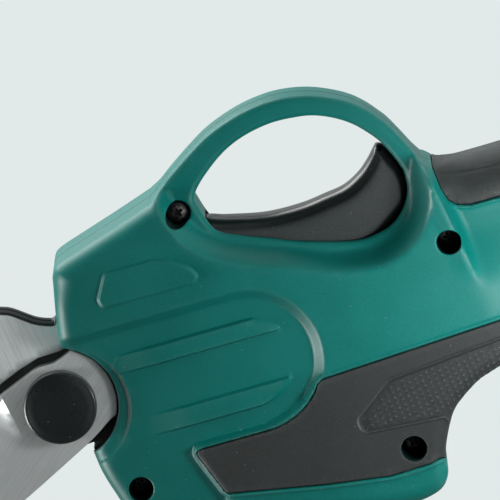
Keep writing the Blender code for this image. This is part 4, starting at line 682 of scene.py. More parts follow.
def edgeRadius(points):
    h = housing
    along, across = points[:, 0], points[:, 1]
    body = inArea(points, plateauLoop(), h["scoopWidth"])
    head = h["bodyEdge"] + (h["headEdge"] - h["bodyEdge"]) * ease((across - 0.030) / 0.010)
    radius = h["guardEdge"] + (head - h["guardEdge"]) * body
    palm = ease((along - 0.030) / 0.030) * ease((-0.020 - across) / 0.015)
    radius = radius + (h["palmEdge"] - radius) * palm
    radius = radius + (h["handleEdge"] - radius) * ease((along - ridgeAt(across) - 0.0010) / 0.0090)
    foot = ease((along - h["footTop"] + h["footFlare"]) / h["footFlare"])
    radius = radius + (h["footEdge"] - radius) * foot
    return radius + (h["seamEdge"] - radius) * ease((along - h["footEnd"] + 0.010) / 0.008)


def dotSteps():
    return np.array([(size * math.cos(math.radians(turn)), size * math.sin(math.radians(turn)))
                     for size, turn in rubber["dotSteps"]])


def dotPlaces():
    panel = rubberLoop("panel")
    counts = np.array([(i, k) for i in range(-30, 31) for k in range(-30, 31)])
    places = panel.mean(0) + counts @ dotSteps()
    return places[isInside(places, panel) & (distanceTo(places, panel) > rubber["dotRadius"] * 1.3)]


def dotShare(points):                   # round bumps on a slanted grid
    steps = dotSteps()
    offset = points - rubberLoop("panel").mean(0)
    nearest = np.round(offset @ np.linalg.inv(steps))
    best = np.full(len(points), 9.0)
    for i in (-1, 0, 1):
        for k in (-1, 0, 1):
            away = offset - (nearest + (i, k)) @ steps
            best = np.minimum(best, np.hypot(away[:, 0], away[:, 1]))
    return 1.0 - ease(best / rubber["dotRadius"])


def foldLine():                         # a groove along the finger grip
    return np.array([tuple(p) for p in smoothRun(rubber["fold"], 0.002)] + [rubber["fold"][-1]])


def skinHeight(side):
    gap = tool["gap"]
    areas = [rubberLoop(word) for word in ("palm", "finger")]
    panel = rubberLoop("panel")

    def height(points):
        result = faceHeight(points)
        inPanel = inArea(points, panel, 0.0005)
        panelBead = 1.0 - ease(np.abs(distanceTo(points, panel) - 0.0010) / 0.0006)
        rubbered = np.zeros(len(points))
        for area in areas:
            away = distanceTo(points, area)
            within = isInside(points, area)
            rubbered = np.maximum(rubbered, within)
            offMiddle = np.abs(away - rubber["lipWidth"] / 2)
            bead = 1.0 - ease(offMiddle / (rubber["lipWidth"] * 0.62))
            result = result + np.where(within, 0.0, rubber["lip"] * bead)
            result = result - roundedRim(away - gap / 2, rubber["border"])
        dots = rubber["dotRaise"] * dotShare(points) * inPanel
        result = result - rubber["panelDepth"] * inPanel + dots
        result = result + rubber["panelBead"] * panelBead * (inPanel < 0.5) * rubbered
        groove = 1.0 - ease(distanceTo(points, foldLine(), False) / rubber["foldWidth"])
        result = result - rubber["foldDepth"] * groove * rubbered
        if side < 0:
            for place in screw["places"]:
                away = reachFrom(points, place) - screw["well"]
                result = result - roundedRim(away, housing["rimRadius"])
            band = reachFrom(points, housing["biteCentre"]) - housing["biteBand"]
            result = result - housing["biteDrop"] * (1.0 - ease(band / 0.0009))
            bite = reachFrom(points, (0.0, 0.0)) - housing["biteRadius"]
            result = result - roundedRim(bite, 0.0006)
        return result

    return height


def ridgeLines(reaches, step):          # straight lines beside the handle's crest
    return [chain([(ridgeAt(across) + reach, across) for across in (-0.006, 0.044)], step, False)
            for reach in reaches]


def faceLines(side):                    # lines of points wherever the face bends
    h = housing
    fine = tool["traceStep"]
    lines = linesBeside(recessLoop(), (0.0, 0.0004, 0.0009, 0.0015, 0.0021, 0.0027, 0.0032,
                                       0.0037, 0.0041), fine * 1.4)
    lines += ridgeLines((-0.0036, -0.0024, -0.0012, 0.0, 0.0005, 0.0011, 0.0018, 0.0026,
                         0.0036, 0.0050), fine)
    lines += linesBeside(plateauLoop(), (0.0, 0.0008, 0.0016, 0.0025, 0.0033, 0.0041, 0.0050,
                                         0.0058, 0.0066), fine * 1.3)
    for loop, ramp in ((padLoop(), h["padRamp"]), (ribLoop(h["ribUpper"]), h["ribRamp"]),
                       (ribLoop(h["ribLower"]), h["ribRamp"])):
        for share in (-0.15, 0.0, 0.2, 0.4, 0.6, 0.8, 1.0, 1.15):
            lines.append(chain(loop + outwardNormals(loop) * ramp * share, fine * 0.8))
    for word in ("palm", "finger"):
        for reach in (-0.00062, -0.0004, -0.00026, -0.00018, 0.00018, 0.00026, 0.0004, 0.00062,
                      0.0009, 0.0012, 0.0015, 0.0018):
            lines.append(chain(spreadOut(rubberLoop(word), reach), fine))
    fold = foldLine()
    for reach in (-0.0008, -0.0005, -0.00025, 0.0, 0.00025, 0.0005, 0.0008):
        lines.append(chain(fold + (0.0, reach), fine * 0.8, False))
    dots = dotPlaces()
    lines.append(dots)
    for count, radius in ((5, 0.00020), (7, 0.00038), (7, 0.00056)):
        lines.append(np.concatenate([dots + p for p in arcLoop((0, 0), radius, count)]))
    for reach in (0.0, 0.00025, 0.0005, 0.0008, 0.0010, 0.0013, 0.0016):
        lines.append(chain(spreadOut(rubberLoop("panel"), reach), fine * 0.8))
    if side < 0:
        for place in screw["places"]:
            for reach in (-0.0003, 0.00003, 0.0001, 0.0002, 0.00035, 0.0005, 0.0010):
                lines.append(chain(arcLoop(place, screw["well"] + reach, 48), 0.002))
        for reach in (-0.0004, 0.00005, 0.0002, 0.0004, 0.0006):
            lines.append(chain(arcLoop((0, 0), h["biteRadius"] + reach, 120), 0.004))
        for reach in (0.0, 0.0002, 0.0004, 0.0006, 0.0009):
            lines.append(chain(arcLoop(h["biteCentre"], h["biteBand"] + reach, 130), 0.004))
    return lines


def insetForm(name, side, inset, base):     # the half's form, smaller all round
    loop = shifted(coreLoop(tool["insideStep"]), -inset)
    lines = ridgeLines((-0.0030, 0.0, 0.0018, 0.0036), 0.003)
    lines += linesBeside(plateauLoop(), (0.0, 0.0018, 0.0036, 0.0054, 0.0072, 0.0088), 0.004)
    return reliefPiece(name, [loop], lines, lambda p: faceHeight(p) - inset, base, side,
                       lambda p: np.maximum(edgeRadius(p) - inset, 0.0006), tool["insideFace"])


def hollowForm(side):
    form = insetForm("hollow", side, housing["wall"], -0.001)
    reach = housing["footHalf"] + 0.01
    for place in screw["places"]:
        carve(form, latheUp("boss", rod(screw["boss"], -reach, reach), acrossAxis(*place), 24))
    floor = housing["footEnd"] - rail["top"] - tool["gap"] - housing["wall"]
    return carve(form, toolBlock("floor", (floor, 0.22), (-0.2, 0.2), (-0.1, 0.1)))


def rubberSeat(side, word):             # all that lies outside the rubber's floor
    region = spreadOut(rubberLoop(word), tool["gap"] / 2)
    seat = outlineBlock("seat", region, -0.001 * side, side * tool["cutReach"])
    return carve(seat, insetForm("seat core", side, rubber["thick"] + tool["gap"], -0.002))


def makeSkin(side):
    shares = (0.015, 0.05, 0.1, 0.17, 0.26, 0.36, 0.48, 0.62, 0.8, 1.0)
    skin = reliefPiece("skin", [outerLoop(side > 0), openingLoop()], faceLines(side),
                       skinHeight(side), tool["gap"] / 2, side, edgeRadius, None, shares)
    return softEdges(skin, 0.0003, 1, 60.0, 34.0, 0.000002)     # chamfered along the parting line


def makeGrip(name, skin, side, word):
    grip = copyOf(skin, name)
    region = spreadOut(rubberLoop(word), -tool["gap"] / 2)
    carve(grip, outlineBlock("region", region, 0.0, side * tool["cutReach"]), "INTERSECT")
    carve(grip, insetForm("grip core", side, rubber["thick"], -0.002))
    if side < 0 and word == "palm":     # the screw well goes on through the rubber
        place = acrossAxis(*screw["places"][screw["palmPlace"]])
        carve(grip, latheUp("well", rod(screw["well"] + tool["gap"], 0, 0.05), place, 48))
    return closeUp(grip, 34.0)


trigger = {
    "half": 0.0092,
    "edge": 0.0062,
    "pivot": (0.0585, 0.0375),
    "pin": 0.0020,
    "crown": [(0.0560, 0.0410), (0.0607, 0.0436), (0.0675, 0.0418), (0.0796, 0.0392),
              (0.0910, 0.0388), (0.0998, 0.0398), (0.1061, 0.0408), (0.1116, 0.0435),
              (0.1155, 0.0467), (0.1180, 0.0494), (0.1194, 0.0509)],
    "tail": [(0.1194, 0.0509), (0.1210, 0.0507), (0.1240, 0.0470), (0.1264, 0.0420),
             (0.1268, 0.0360), (0.1248, 0.0300), (0.1180, 0.0250)],
    "under": [(0.1180, 0.0250), (0.1120, 0.0215), (0.1040, 0.0200), (0.0880, 0.0230),
              (0.0750, 0.0285), (0.0660, 0.0320), (0.0575, 0.0325), (0.0540, 0.0360),
              (0.0560, 0.0410)],
    "pocket": [(0.0520, 0.0440), (0.0575, 0.0445), (0.0608, 0.0445), (0.0900, 0.0440),
               (0.1200, 0.0540), (0.1228, 0.0528), (0.1256, 0.0478), (0.1278, 0.0430),
               (0.1283, 0.0360), (0.1270, 0.0265), (0.1250, 0.0200), (0.1190, 0.0130),
               (0.1030, 0.0120), (0.0880, 0.0170), (0.0700, 0.0240), (0.0520, 0.0300)],
}
blade = {
    "thick": 0.0040,
    "shear": 0.0140,                    # depth of the plane the two blades meet in
    "edge": 0.0004,
    "hub": 0.0181,
    "shaft": 0.0040,
    "cutting": [(-0.0175, 0.0084), (-0.0300, 0.0036), (-0.0420, -0.0025), (-0.0540, -0.0110),
                (-0.0640, -0.0220), (-0.0690, -0.0310)],
    "back": [(-0.0690, -0.0310), (-0.0660, -0.0338), (-0.0580, -0.0352), (-0.0450, -0.0345),
             (-0.0320, -0.0312), (-0.0189, -0.0261), (0.0052, -0.0143)],
    "notch": [(0.0058, -0.0140), (0.0098, -0.0116), (0.0131, -0.0094), (0.0164, -0.0077)],
    "hubFront": [(0.0082, 0.0161), (0.0020, 0.0139), (-0.0037, 0.0137), (-0.0095, 0.0116),
                 (-0.0175, 0.0084)],
    "heel": [(-0.0175, 0.0084), (-0.0146, -0.0070), (-0.0236, -0.0098), (-0.0360, -0.0152),
             (-0.0480, -0.0225), (-0.0580, -0.0300), (-0.0645, -0.0335)],
    "hookOuter": [(0.0047, 0.0268), (0.0, 0.0287), (-0.0065, 0.0334), (-0.0107, 0.0351),
                  (-0.0220, 0.0392), (-0.0380, 0.0425), (-0.0540, 0.0418), (-0.0660, 0.0370),
                  (-0.0740, 0.0285)],
    "hookInner": [(-0.0740, 0.0285), (-0.0725, 0.0262), (-0.0690, 0.0262), (-0.0590, 0.0288),
                  (-0.0460, 0.0278), (-0.0350, 0.0232), (-0.0270, 0.0140), (-0.0220, 0.0030),
                  (-0.0165, -0.0070), (-0.0100, -0.0125), (0.0, -0.0152), (0.0075, -0.0150)],
    "tang": [(0.0075, -0.0150), (0.0130, -0.0200), (0.0200, -0.0255), (0.0260, -0.0280),
             (0.0310, -0.0260), (0.0315, -0.0205), (0.0285, -0.0177), (0.0225, -0.0168),
             (0.0195, -0.0135), (0.0188, 0.0130), (0.0225, 0.0172), (0.0300, 0.0185),
             (0.0310, 0.0260), (0.0270, 0.0305), (0.0140, 0.0300), (0.0047, 0.0268)],
    "slot": [(-0.0100, -0.0165), (0.0120, -0.0215), (0.0320, -0.0295), (0.0320, 0.0320),
             (-0.0100, 0.0420)],
    "screws": [(0.0250, 0.0245), (0.0265, -0.0225)],
    "chamfer": 0.0016,                  # width of the hook's chamfered back
    "chamferDrop": 0.0012,
    "grindWidth": 0.0045,               # of the hook's cutting side, seen from behind
    "groove": [(0.0105, 0.0172), (0.0040, 0.0160), (-0.0030, 0.0158), (-0.0095, 0.0138),
               (-0.0175, 0.0106), (-0.0300, 0.0058), (-0.0420, -0.0003), (-0.0420, -0.0100),
               (0.0105, -0.0050)],
    "grooveDepth": 0.0011,
    "armDepth": 0.0130,                 # how deep the far half is hollowed for the bearing arm
    "armHalf": 0.0090,
}
button = {"radius": 0.0050, "across": -0.0270, "depth": 0.0068,
          "lensRadius": 0.0016, "lensAcross": -0.0185, "lensDepth": 0.0015}


def seatOf(place):
    return min(screw["seat"], float(faceHeight(np.array([place]))[0]) - screw["cover"])


def carveHalf(half, side):
    h, gap, middle = housing, tool["gap"], tool["footAcross"]
    carve(half, hollowForm(side))
    for word in ("palm", "finger"):
        carve(half, rubberSeat(side, word))
    pocket = loopFrom([trigger["pocket"] + trigger["pocket"][:1]], 0.002)
    reach = trigger["half"] + gap * 1.5
    carve(half, outlineBlock("pocket", pocket, -reach, reach))
    start = middle - rail["length"] / 2 - gap
    lip = h["footEnd"] - rail["lip"] + gap
    for word, along in (("neck", (lip - 0.001, h["footEnd"] + 0.01)),
                        ("head", (h["footEnd"] - rail["top"] - gap, lip))):
        room = rail[word] / 2 + gap
        carve(half, toolBlock(word, along, (start, 0.2), (-room, room)))
    for place in screw["places"]:
        seat = seatOf(place)
        if side < 0:
            profile = [(screw["shank"] + gap, -0.01), (screw["shank"] + gap, seat),
                       (screw["well"], seat), (screw["well"], 0.05)]
        else:
            profile = rod(screw["shank"] + gap, -screw["bite"] - gap, 0.01)
        carve(half, latheUp("well", profile, acrossAxis(*place), 48))
    long, deep = h["wireRoom"]
    carve(half, toolBlock("wires", (h["footEnd"] - 0.02, h["footEnd"] - rail["top"] + 0.001),
                          (middle - long, middle + long), (-deep, deep)))
    deck = tool["pivotZ"] - h["footTop"]
    bores = ((button["radius"], button["across"], button["depth"]),
             (button["lensRadius"], button["lensAcross"], button["lensDepth"]))
    for radius, across, depth in bores:
        place = Matrix.Translation((tool["pivotX"] + across, 0, 0))
        carve(half, latheUp("bore", rod(radius + gap, deck - depth, deck + 0.01), place, 48))
    return half


def makeHousing():
    gap, pieces = tool["gap"], {}
    for side, word in ((-1, "near"), (1, "far")):
        skin = makeSkin(side)
        print("skin", word, len(skin.data.polygons))
        for area in ("palm", "finger"):
            pieces[area + word] = makeGrip("%sGrip_%s" % (area, word), skin, side, area)
        half = carveHalf(skin, side)
        half.name = "housing_" + word + "_shell"
        if side < 0:
            bite = rod(housing["biteRadius"], -0.0005, 0.05)
            carve(half, latheUp("bite", bite, acrossAxis(0, 0), 128))
            carve(half, outlineBlock("slot", blade["slot"], -blade["shear"] - gap / 2,
                                     -(blade["shear"] - gap / 2 - blade["thick"]) + gap))
        else:
            reach = blade["armHalf"] + 2 * gap
            arc = [tuple(p) for p in arcLoop((0, 0), reach, 33, 90.0, 270.0)]
            carve(half, outlineBlock("nose", arc + [(0.028, -reach), (0.028, reach)], -0.001,
                                     blade["armDepth"] + 2 * gap))
        pieces["shell" + word] = closeUp(half, 34.0)
    return pieces


def makeTrigger():
    half, radius = trigger["half"], trigger["edge"]
    loop = loopFrom([trigger["crown"], trigger["tail"], trigger["under"]], 0.0009)
    shares = (0.02, 0.06, 0.12, 0.2, 0.3, 0.42, 0.56, 0.74, 1.0)
    lever = reliefPiece("trigger_lever", [loop], [], lambda p: np.full(len(p), half),
                        lambda p: -half + roundedRim(distanceTo(p, loop), radius), -1,
                        lambda p: np.full(len(p), radius), 0.0016, shares)
    bore = rod(trigger["pin"] + tool["gap"], -0.02, 0.02)
    carve(lever, latheUp("bore", bore, acrossAxis(*trigger["pivot"]), 32))
    return closeUp(lever, 34.0)


def makeMovingBlade():
    b = blade
    base = b["shear"] + tool["gap"] / 2
    edge = np.concatenate([loopFrom([b["cutting"]], 0.0009), [b["cutting"][-1]]])
    heel = chain(b["heel"], 0.0012, False)
    ground = np.concatenate([edge, heel[::-1]])

    def thick(points):
        toEdge, toHeel = distanceTo(points, edge, False), distanceTo(points, heel, False)
        share = toEdge / np.maximum(toEdge + toHeel, 1e-9)
        share = np.where(isInside(points, ground), share, 1.0)
        share = np.where(toEdge < 1e-5, 0.0, share)
        return base + b["edge"] + (b["thick"] - b["edge"]) * share

    runs = [b["cutting"], b["back"], [b["back"][-1], b["notch"][0]], b["notch"]]
    loop = np.concatenate([loopFrom(runs, 0.0009), arcLoop((0, 0), b["hub"], 60, -25.2, 63.0),
                           loopFrom([b["hubFront"]], 0.0009)])
    lines = [heel, heel + (0.0003, 0.0)]
    piece = reliefPiece("moving_blade_ground", [loop], lines, thick, base, -1,
                        lambda p: np.full(len(p), 0.0003), 0.0022, (0.1, 0.35, 0.7, 1.0))
    carve(piece, latheUp("hole", rod(b["shaft"] + tool["gap"], 0, 0.04), acrossAxis(0, 0), 64))
    return closeUp(piece, 24.0)


def makeFixedBlade():
    b, gap, groove = blade, tool["gap"], np.array(blade["groove"])
    loop = loopFrom([b["hookOuter"], b["hookInner"], b["tang"]], 0.0010)
    back = np.array([tuple(p) for p in smoothRun(b["hookOuter"], 0.0010)])
    front = np.array([tuple(p) for p in smoothRun(b["hookInner"], 0.0010)])
    high, low = b["shear"] - gap / 2, b["shear"] - gap / 2 - b["thick"]

    def near(points):
        drop = b["chamferDrop"] * np.clip(1 - distanceTo(points, back, False) / b["chamfer"], 0, 1)
        return high - drop - b["grooveDepth"] * inArea(points, groove, 0.0004)

    def far(points):
        grind = np.clip(1 - distanceTo(points, front, False) / b["grindWidth"], 0, 1)
        return low + (b["thick"] - 0.0007) * grind * ease((-0.0060 - points[:, 0]) / 0.008)

    lines = linesBeside(groove, (0.0, 0.0004), 0.0012)
    for run, reaches in ((back, (0.0004, 0.0008, b["chamfer"], b["chamfer"] + 0.0003)),
                         (front, (b["grindWidth"], b["grindWidth"] + 0.0004))):
        slope = np.gradient(run, axis=0)
        slope /= np.linalg.norm(slope, axis=1)[:, None]
        for reach in reaches:
            lines.append(run - outwardOf(slope, loop) * reach)
    piece = reliefPiece("fixed_blade_hook", [loop], lines, near, far, -1,
                        lambda p: np.full(len(p), 0.0003), 0.0022, (0.15, 0.5, 1.0))
    carve(piece, latheUp("hole", rod(b["shaft"] + 2 * gap, 0, 0.04), acrossAxis(0, 0), 64))
    for place in b["screws"]:
        carve(piece, latheUp("hole", rod(screw["shank"] + gap, 0, 0.04), acrossAxis(*place), 32))
    closeUp(piece, 24.0)
    markField(piece, "band", lambda points: distanceTo(points, back, False))
    # painted shade: the groove round the hub and the tang next to the pivot are painted near black
    # where they lie in shadow
    markField(piece, "shade", lambda points: np.maximum(
        inArea(points, groove, 0.0009) * (points[:, 1] > 0),
        ease((-0.0030 - points[:, 1]) / 0.0015) * ease((points[:, 0] + 0.0050) / 0.002)))
    return piece


cap = {"radius": 0.0117, "top": 0.0252, "wall": 0.0014, "low": 0.01845,
       "shoulder": 0.0009, "crown": 0.0013}
head = {"rise": 0.0018, "crown": 0.0008, "cross": 0.00070, "crossReach": 0.0022,
        "crossDepth": 0.0012, "thread": 0.0007, "threadDepth": 0.00028,
        "turns": (20, 5, 50, 65, 12, 40)}


def makeCap():
    r, top = cap["radius"], cap["top"]
    roll, crown = cap["shoulder"], cap["crown"]
    rim = [(r - 0.0002, cap["low"]), (r, cap["low"] + 0.0002), (r, top - crown - roll)]
    for k in range(1, 8):               # the rolled shoulder runs into the shallow crown
        turn = math.radians(76 * k / 7)
        rim.append((r - roll * (1 - math.cos(turn)), top - crown - roll * (1 - math.sin(turn))))
    edge = rim[-1][0]
    for k in range(1, 13):
        share = k / 12
        rim.append((edge * (1 - share), rim[9][1] + (top - rim[9][1]) * (1 - (1 - share) ** 2)))
    lip = rim[11][1]                    # a fine ledge just inside the shoulder
    rim[10:12] = [(edge - 0.0003, rim[9][1] + 0.0001), (edge - 0.0004, lip - 0.0003),
                  (edge - 0.0009, lip)]
    piece = latheUp("pivot_cap_dome", rim, acrossAxis(0, 0), 96)
    inner = [(r - cap["wall"], cap["low"] - 0.001), (r - cap["wall"], top - cap["wall"] - 0.0020),
             (r - cap["wall"] - 0.0016, top - cap["wall"] - 0.0006)]
    carve(piece, latheUp("room", inner, acrossAxis(0, 0), 64))
    return closeUp(piece, 30.0)


def makeScrew():                        # a pan head with a cross, and a threaded shank
    h, radius, shank = head, screw["head"], screw["shank"]
    bottom = -screw["seat"] - screw["bite"]
    profile = [(shank * 0.3, bottom), (shank - h["threadDepth"], bottom + 0.0008)]
    height = bottom + 0.0010
    while height < -0.0030:
        profile += [(shank - h["threadDepth"], height), (shank, height + h["thread"] * 0.4),
                    (shank - h["threadDepth"], height + h["thread"] * 0.8)]
        height += h["thread"]
    profile += [(shank, -0.0024), (shank, tool["gap"]), (radius - 0.0001, tool["gap"]),
                (radius, tool["gap"] + 0.0001), (radius, h["rise"])]
    for k in range(1, 9):
        turn = math.radians(90 * k / 8)
        profile.append((radius * (0.55 * math.cos(turn) + 0.45 * (1 - k / 8)),
                        h["rise"] + h["crown"] * math.sin(turn)))
    piece = latheUp("housing_screw", profile, Matrix.Identity(4), 40)
    top = h["rise"] + h["crown"]
    for turn in (0.0, 90.0):            # two tapered slots make the cross
        bar = boxBlock("slot", (-h["crossReach"], -h["cross"], top - h["crossDepth"]),
                       (h["crossReach"], h["cross"], top + 0.001))
        for vertex in bar.data.vertices:
            if vertex.co.z < top - 0.0001:
                vertex.co.x, vertex.co.y = vertex.co.x * 0.45, vertex.co.y * 0.55
        bar.rotation_euler.z = math.radians(turn)
        pick(bar)
        bpy.ops.object.transform_apply(rotation=True)
        carve(piece, bar, solver="EXACT")
    return closeUp(piece, 30.0)


def placeScrews():
    model = makeScrew()
    for number, (place, turn) in enumerate(zip(screw["places"], head["turns"]), 1):
        piece = copyOf(model, "case_screw_%d" % number)
        piece.matrix_world = (acrossAxis(*place) @ Matrix.Translation((0, 0, seatOf(place)))
                              @ Matrix.Rotation(math.radians(turn), 4, "Z"))
        pick(piece)
        bpy.ops.object.transform_apply(location=True, rotation=True, scale=True)
        settle(piece, "screw_black", "housing", "housing_screw_%d" % number)
    bpy.data.objects.remove(model)


# Battery, its latch, the power button and the lens

battery = {
    "corner": 0.0052,
    "base": 0.0016,                     # rounding of the underside
    "wall": 0.0025,
    "panelDepth": 0.0007,
    "ribs": 5,
    "ribWidth": 0.0012,
    "ribRaise": 0.0006,
    "ribPitch": 0.0075,
    "ribInset": 0.0046,                 # between a rib's ends and the case's
    "footRing": (0.0070, 0.0090, 0.0005),   # groove below: outer and inner reach, depth
    "contactPitch": 0.0060,
    "contactHalf": 0.0011,
    "contactReach": 0.0092,
    "contactLow": 0.0035,               # bottom of the contact slots above the deck
    "latchRoom": 0.0110,
    "grooves": (-2, -1, 0, 1, 2),       # across the latch, at this pitch
    "groovePitch": 0.0016,
}


def pickWhere(piece, kind, test):       # edit mode, with only the faces or edges that pass
    pick(piece)
    bpy.ops.object.mode_set(mode="EDIT")
    bpy.ops.mesh.select_mode(type=kind)
    bpy.ops.mesh.select_all(action="DESELECT")
    bpy.ops.object.mode_set(mode="OBJECT")
    if kind == "FACE":
        for face in piece.data.polygons:
            face.select = bool(test(face.center, face.normal))
    else:
        points = piece.data.vertices
        for edge in piece.data.edges:
            one, two = points[edge.vertices[0]].co, points[edge.vertices[1]].co
            edge.select = bool(test(one, two))
    bpy.ops.object.mode_set(mode="EDIT")


def caseBlock(name, low, high, rimHeight):
    # a block with round corners, its rim rolled over, and a sunk panel on each side
    b = battery
    block = boxBlock(name, low, high)
    pickWhere(block, "EDGE", lambda one, two: abs(one.z - two.z) > 0.001)
    bpy.ops.mesh.bevel(offset=b["corner"], segments=8, affect="EDGES")
    bpy.ops.object.mode_set(mode="OBJECT")
    pickWhere(block, "EDGE",
              lambda one, two: max(abs(one.z - rimHeight), abs(two.z - rimHeight)) < 1e-5)
    bpy.ops.mesh.bevel(offset=b["base"], segments=4, affect="EDGES")
    faceOut()
    pickWhere(block, "FACE", lambda centre, normal: max(abs(normal.x), abs(normal.y)) > 0.9995)
    bpy.ops.mesh.inset(thickness=0.0022, use_individual=True)
    bpy.ops.mesh.inset(thickness=0.0005, depth=-b["panelDepth"], use_individual=True)
    bpy.ops.object.mode_set(mode="OBJECT")
    return block


def cellRoom():                         # the low and the high corner of the cells' room
    low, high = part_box("cell_1")
    lastLow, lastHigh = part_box("cell_5")
    gap = tool["gap"]
    return ((min(low.x, lastLow.x) - gap, low.y - gap, low.z - gap),
            (max(high.x, lastHigh.x) + gap, high.y + gap, high.z + gap))


def makeBatteryLower():
    b = battery
    low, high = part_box("battery_lower")
    block = caseBlock("battery_case_lower", low, high, low.z)
    for face in (-1, 1):                # grip ribs on the long sides
        for number in range(b["ribs"] * 2):
            x = (number - b["ribs"] + 0.5) * b["ribPitch"]
            side = high.y if face > 0 else low.y
            half, inset = b["ribWidth"] / 2, b["ribInset"]
            rib = boxBlock("rib", (x - half, side - 0.0015 * face, low.z + inset),
                           (x + half, side - 0.0001 * face, high.z - inset))
            softEdges(rib, 0.0003, 2)
            carve(block, rib, "UNION")
    start, end = cellRoom()
    carve(block, boxBlock("room", start, (end[0], end[1], high.z + 0.01)))
    outside, inside, deep = b["footRing"]
    floor = low.z + deep
    carve(block, boxBlock("tray", (low.x + outside, low.y + outside, low.z - 0.001),
                          (high.x - outside, high.y - outside, floor)))
    carve(block, boxBlock("pad", (low.x + inside, low.y + inside, low.z + 0.0001),
                          (high.x - inside, high.y - inside, floor + 0.0006)), "UNION")
    return closeUp(block, 35.0)


def makeBatteryUpper():
    b, gap = battery, tool["gap"]
    low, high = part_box("battery_upper")
    deck = high.z - rail["top"]
    block = caseBlock("battery_case_upper", low, (high.x, high.y, deck), deck)
    long, neck, wide = rail["length"] / 2, rail["neck"] / 2, rail["head"] / 2
    lip = deck + rail["lip"]
    stem = boxBlock("stem", (-long, -neck, deck - 0.001), (long, neck, lip + 0.001))
    flange = boxBlock("flange", (-long, -wide, lip + gap), (long, wide, high.z))
    softEdges(flange, 0.0005, 2)
    carve(stem, flange, "UNION")
    carve(block, stem, "UNION")
    start, end = cellRoom()
    carve(block, boxBlock("room", (start[0], start[1], 0), end))
    reach = high.x - b["latchRoom"]
    carve(block, boxBlock("board room", (start[0], start[1], low.z - 0.005),
                          (reach - b["wall"], end[1], deck - b["wall"])))
    for number in (-1, 0, 1):
        depth, half = number * b["contactPitch"], b["contactHalf"]
        carve(block, boxBlock("contact slot", (-long - 0.001, depth - half, deck + b["contactLow"]),
                              (b["contactReach"], depth + half, high.z + 0.01)))
    latchLow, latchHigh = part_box("latch_button")
    carve(block, boxBlock("window", (reach, latchLow.y - gap, latchLow.z - gap),
                          (high.x + 0.01, latchHigh.y + gap, latchHigh.z + gap)))
    return closeUp(block, 35.0)


def makeLatch():
    low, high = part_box("latch_button")
    block = boxBlock("battery_latch", low, high)
    softEdges(block, 0.0008, 3)
    for number in battery["grooves"]:   # grip grooves across the button's face
        z = (low.z + high.z) / 2 + number * battery["groovePitch"]
        groove = boxBlock("groove", (high.x - 0.0007, low.y + 0.003, z - 0.00035),
                          (high.x + 0.001, high.y - 0.003, z + 0.00035))
        carve(block, groove, solver="EXACT")
    return closeUp(block, 35.0)


def uprightAxis(low, high):             # through the middle of a box
    return Matrix.Translation(((low.x + high.x) / 2, (low.y + high.y) / 2, 0))


def makePowerButton():
    low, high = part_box("power_button")
    r, top = (high.x - low.x) / 2, high.z
    roll = 0.0006
    profile = [(r - 0.0003, low.z), (r, low.z + 0.0003), (r, top - roll)]
    for turn in (22, 45, 67, 90):
        turn = math.radians(turn)
        profile.append((r - roll * (1 - math.cos(turn)), top - roll * (1 - math.sin(turn))))
    profile += [(r * 0.72, top), (r * 0.68, top - 0.0003), (r * 0.60, top - 0.0003),
                (r * 0.56, top), (r * 0.50, top - 0.00005), (r * 0.30, top - 0.0003),
                (r * 0.1, top - 0.0004), (0.00001, top - 0.0004)]
    return latheUp("power_button_cap", profile, uprightAxis(low, high), 64)


def makeLens():
    low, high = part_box("indicator_lens")
    r, roll = (high.x - low.x) / 2, 0.0003
    profile = [(r, low.z), (r, high.z - roll)]
    for turn in (20, 40, 60, 80):
        turn = math.radians(turn)
        profile.append((r * math.cos(turn), high.z - roll + roll * math.sin(turn)))
    return latheUp("indicator_light", profile, uprightAxis(low, high), 40)


# What the finishes read from a piece: how convex it is, and fields laid over it

def readAll(items, word, width, kind=float):
    values = np.empty(len(items) * width, kind)
    items.foreach_get(word, values)
    return values.reshape(-1, width)


def planeOf(places):                    # (along, across) of places in space
    return np.stack([tool["pivotZ"] - places[:, 2], places[:, 0] - tool["pivotX"]], 1)


def markEdges(piece, radius=0.0007):
    mesh = piece.data
    count = len(mesh.vertices)
    normals, centres = readAll(mesh.polygons, "normal", 3), readAll(mesh.polygons, "center", 3)
    total = readAll(mesh.polygons, "loop_total", 1, int)[:, 0]
    edgeOf = readAll(mesh.loops, "edge_index", 1, int)[:, 0]
    ends = readAll(mesh.edges, "vertices", 2, int)
    order = np.argsort(edgeOf, kind="stable")
    face, edge = np.repeat(np.arange(len(total)), total)[order], edgeOf[order]
    pair = np.nonzero(edge[1:] == edge[:-1])[0]
    one, two, shared = face[pair], face[pair + 1], edge[pair]
    across = centres[two] - centres[one]
    bend = np.arccos(np.clip((normals[one] * normals[two]).sum(1), -1, 1))
    bend = bend * -np.sign((normals[one] * across).sum(1))      # positive where it is convex
    bend = bend / np.maximum(np.linalg.norm(across, axis=1), radius)
    value, weight = np.zeros(count), np.zeros(count)
    for side in (0, 1):
        np.add.at(value, ends[shared, side], bend * radius)
        np.add.at(weight, ends[shared, side], 1.0)
    value /= np.maximum(weight, 1.0)
    for _ in range(2):                  # softened along the edges
        total, weight = value.copy(), np.ones(count)
        for side in (0, 1):
            np.add.at(total, ends[:, side], value[ends[:, 1 - side]])
            np.add.at(weight, ends[:, side], 1.0)
        value = total / weight
    field = mesh.attributes.new("edge", "FLOAT", "POINT")
    field.data.foreach_set("value", np.clip(value * 2.0, 0.0, 1.0).astype(np.float32))


def markField(piece, name, rule):
    points = planeOf(readAll(piece.data.vertices, "co", 3))
    field = piece.data.attributes.new(name, "FLOAT", "POINT")
    field.data.foreach_set("value", np.asarray(rule(points), np.float32))


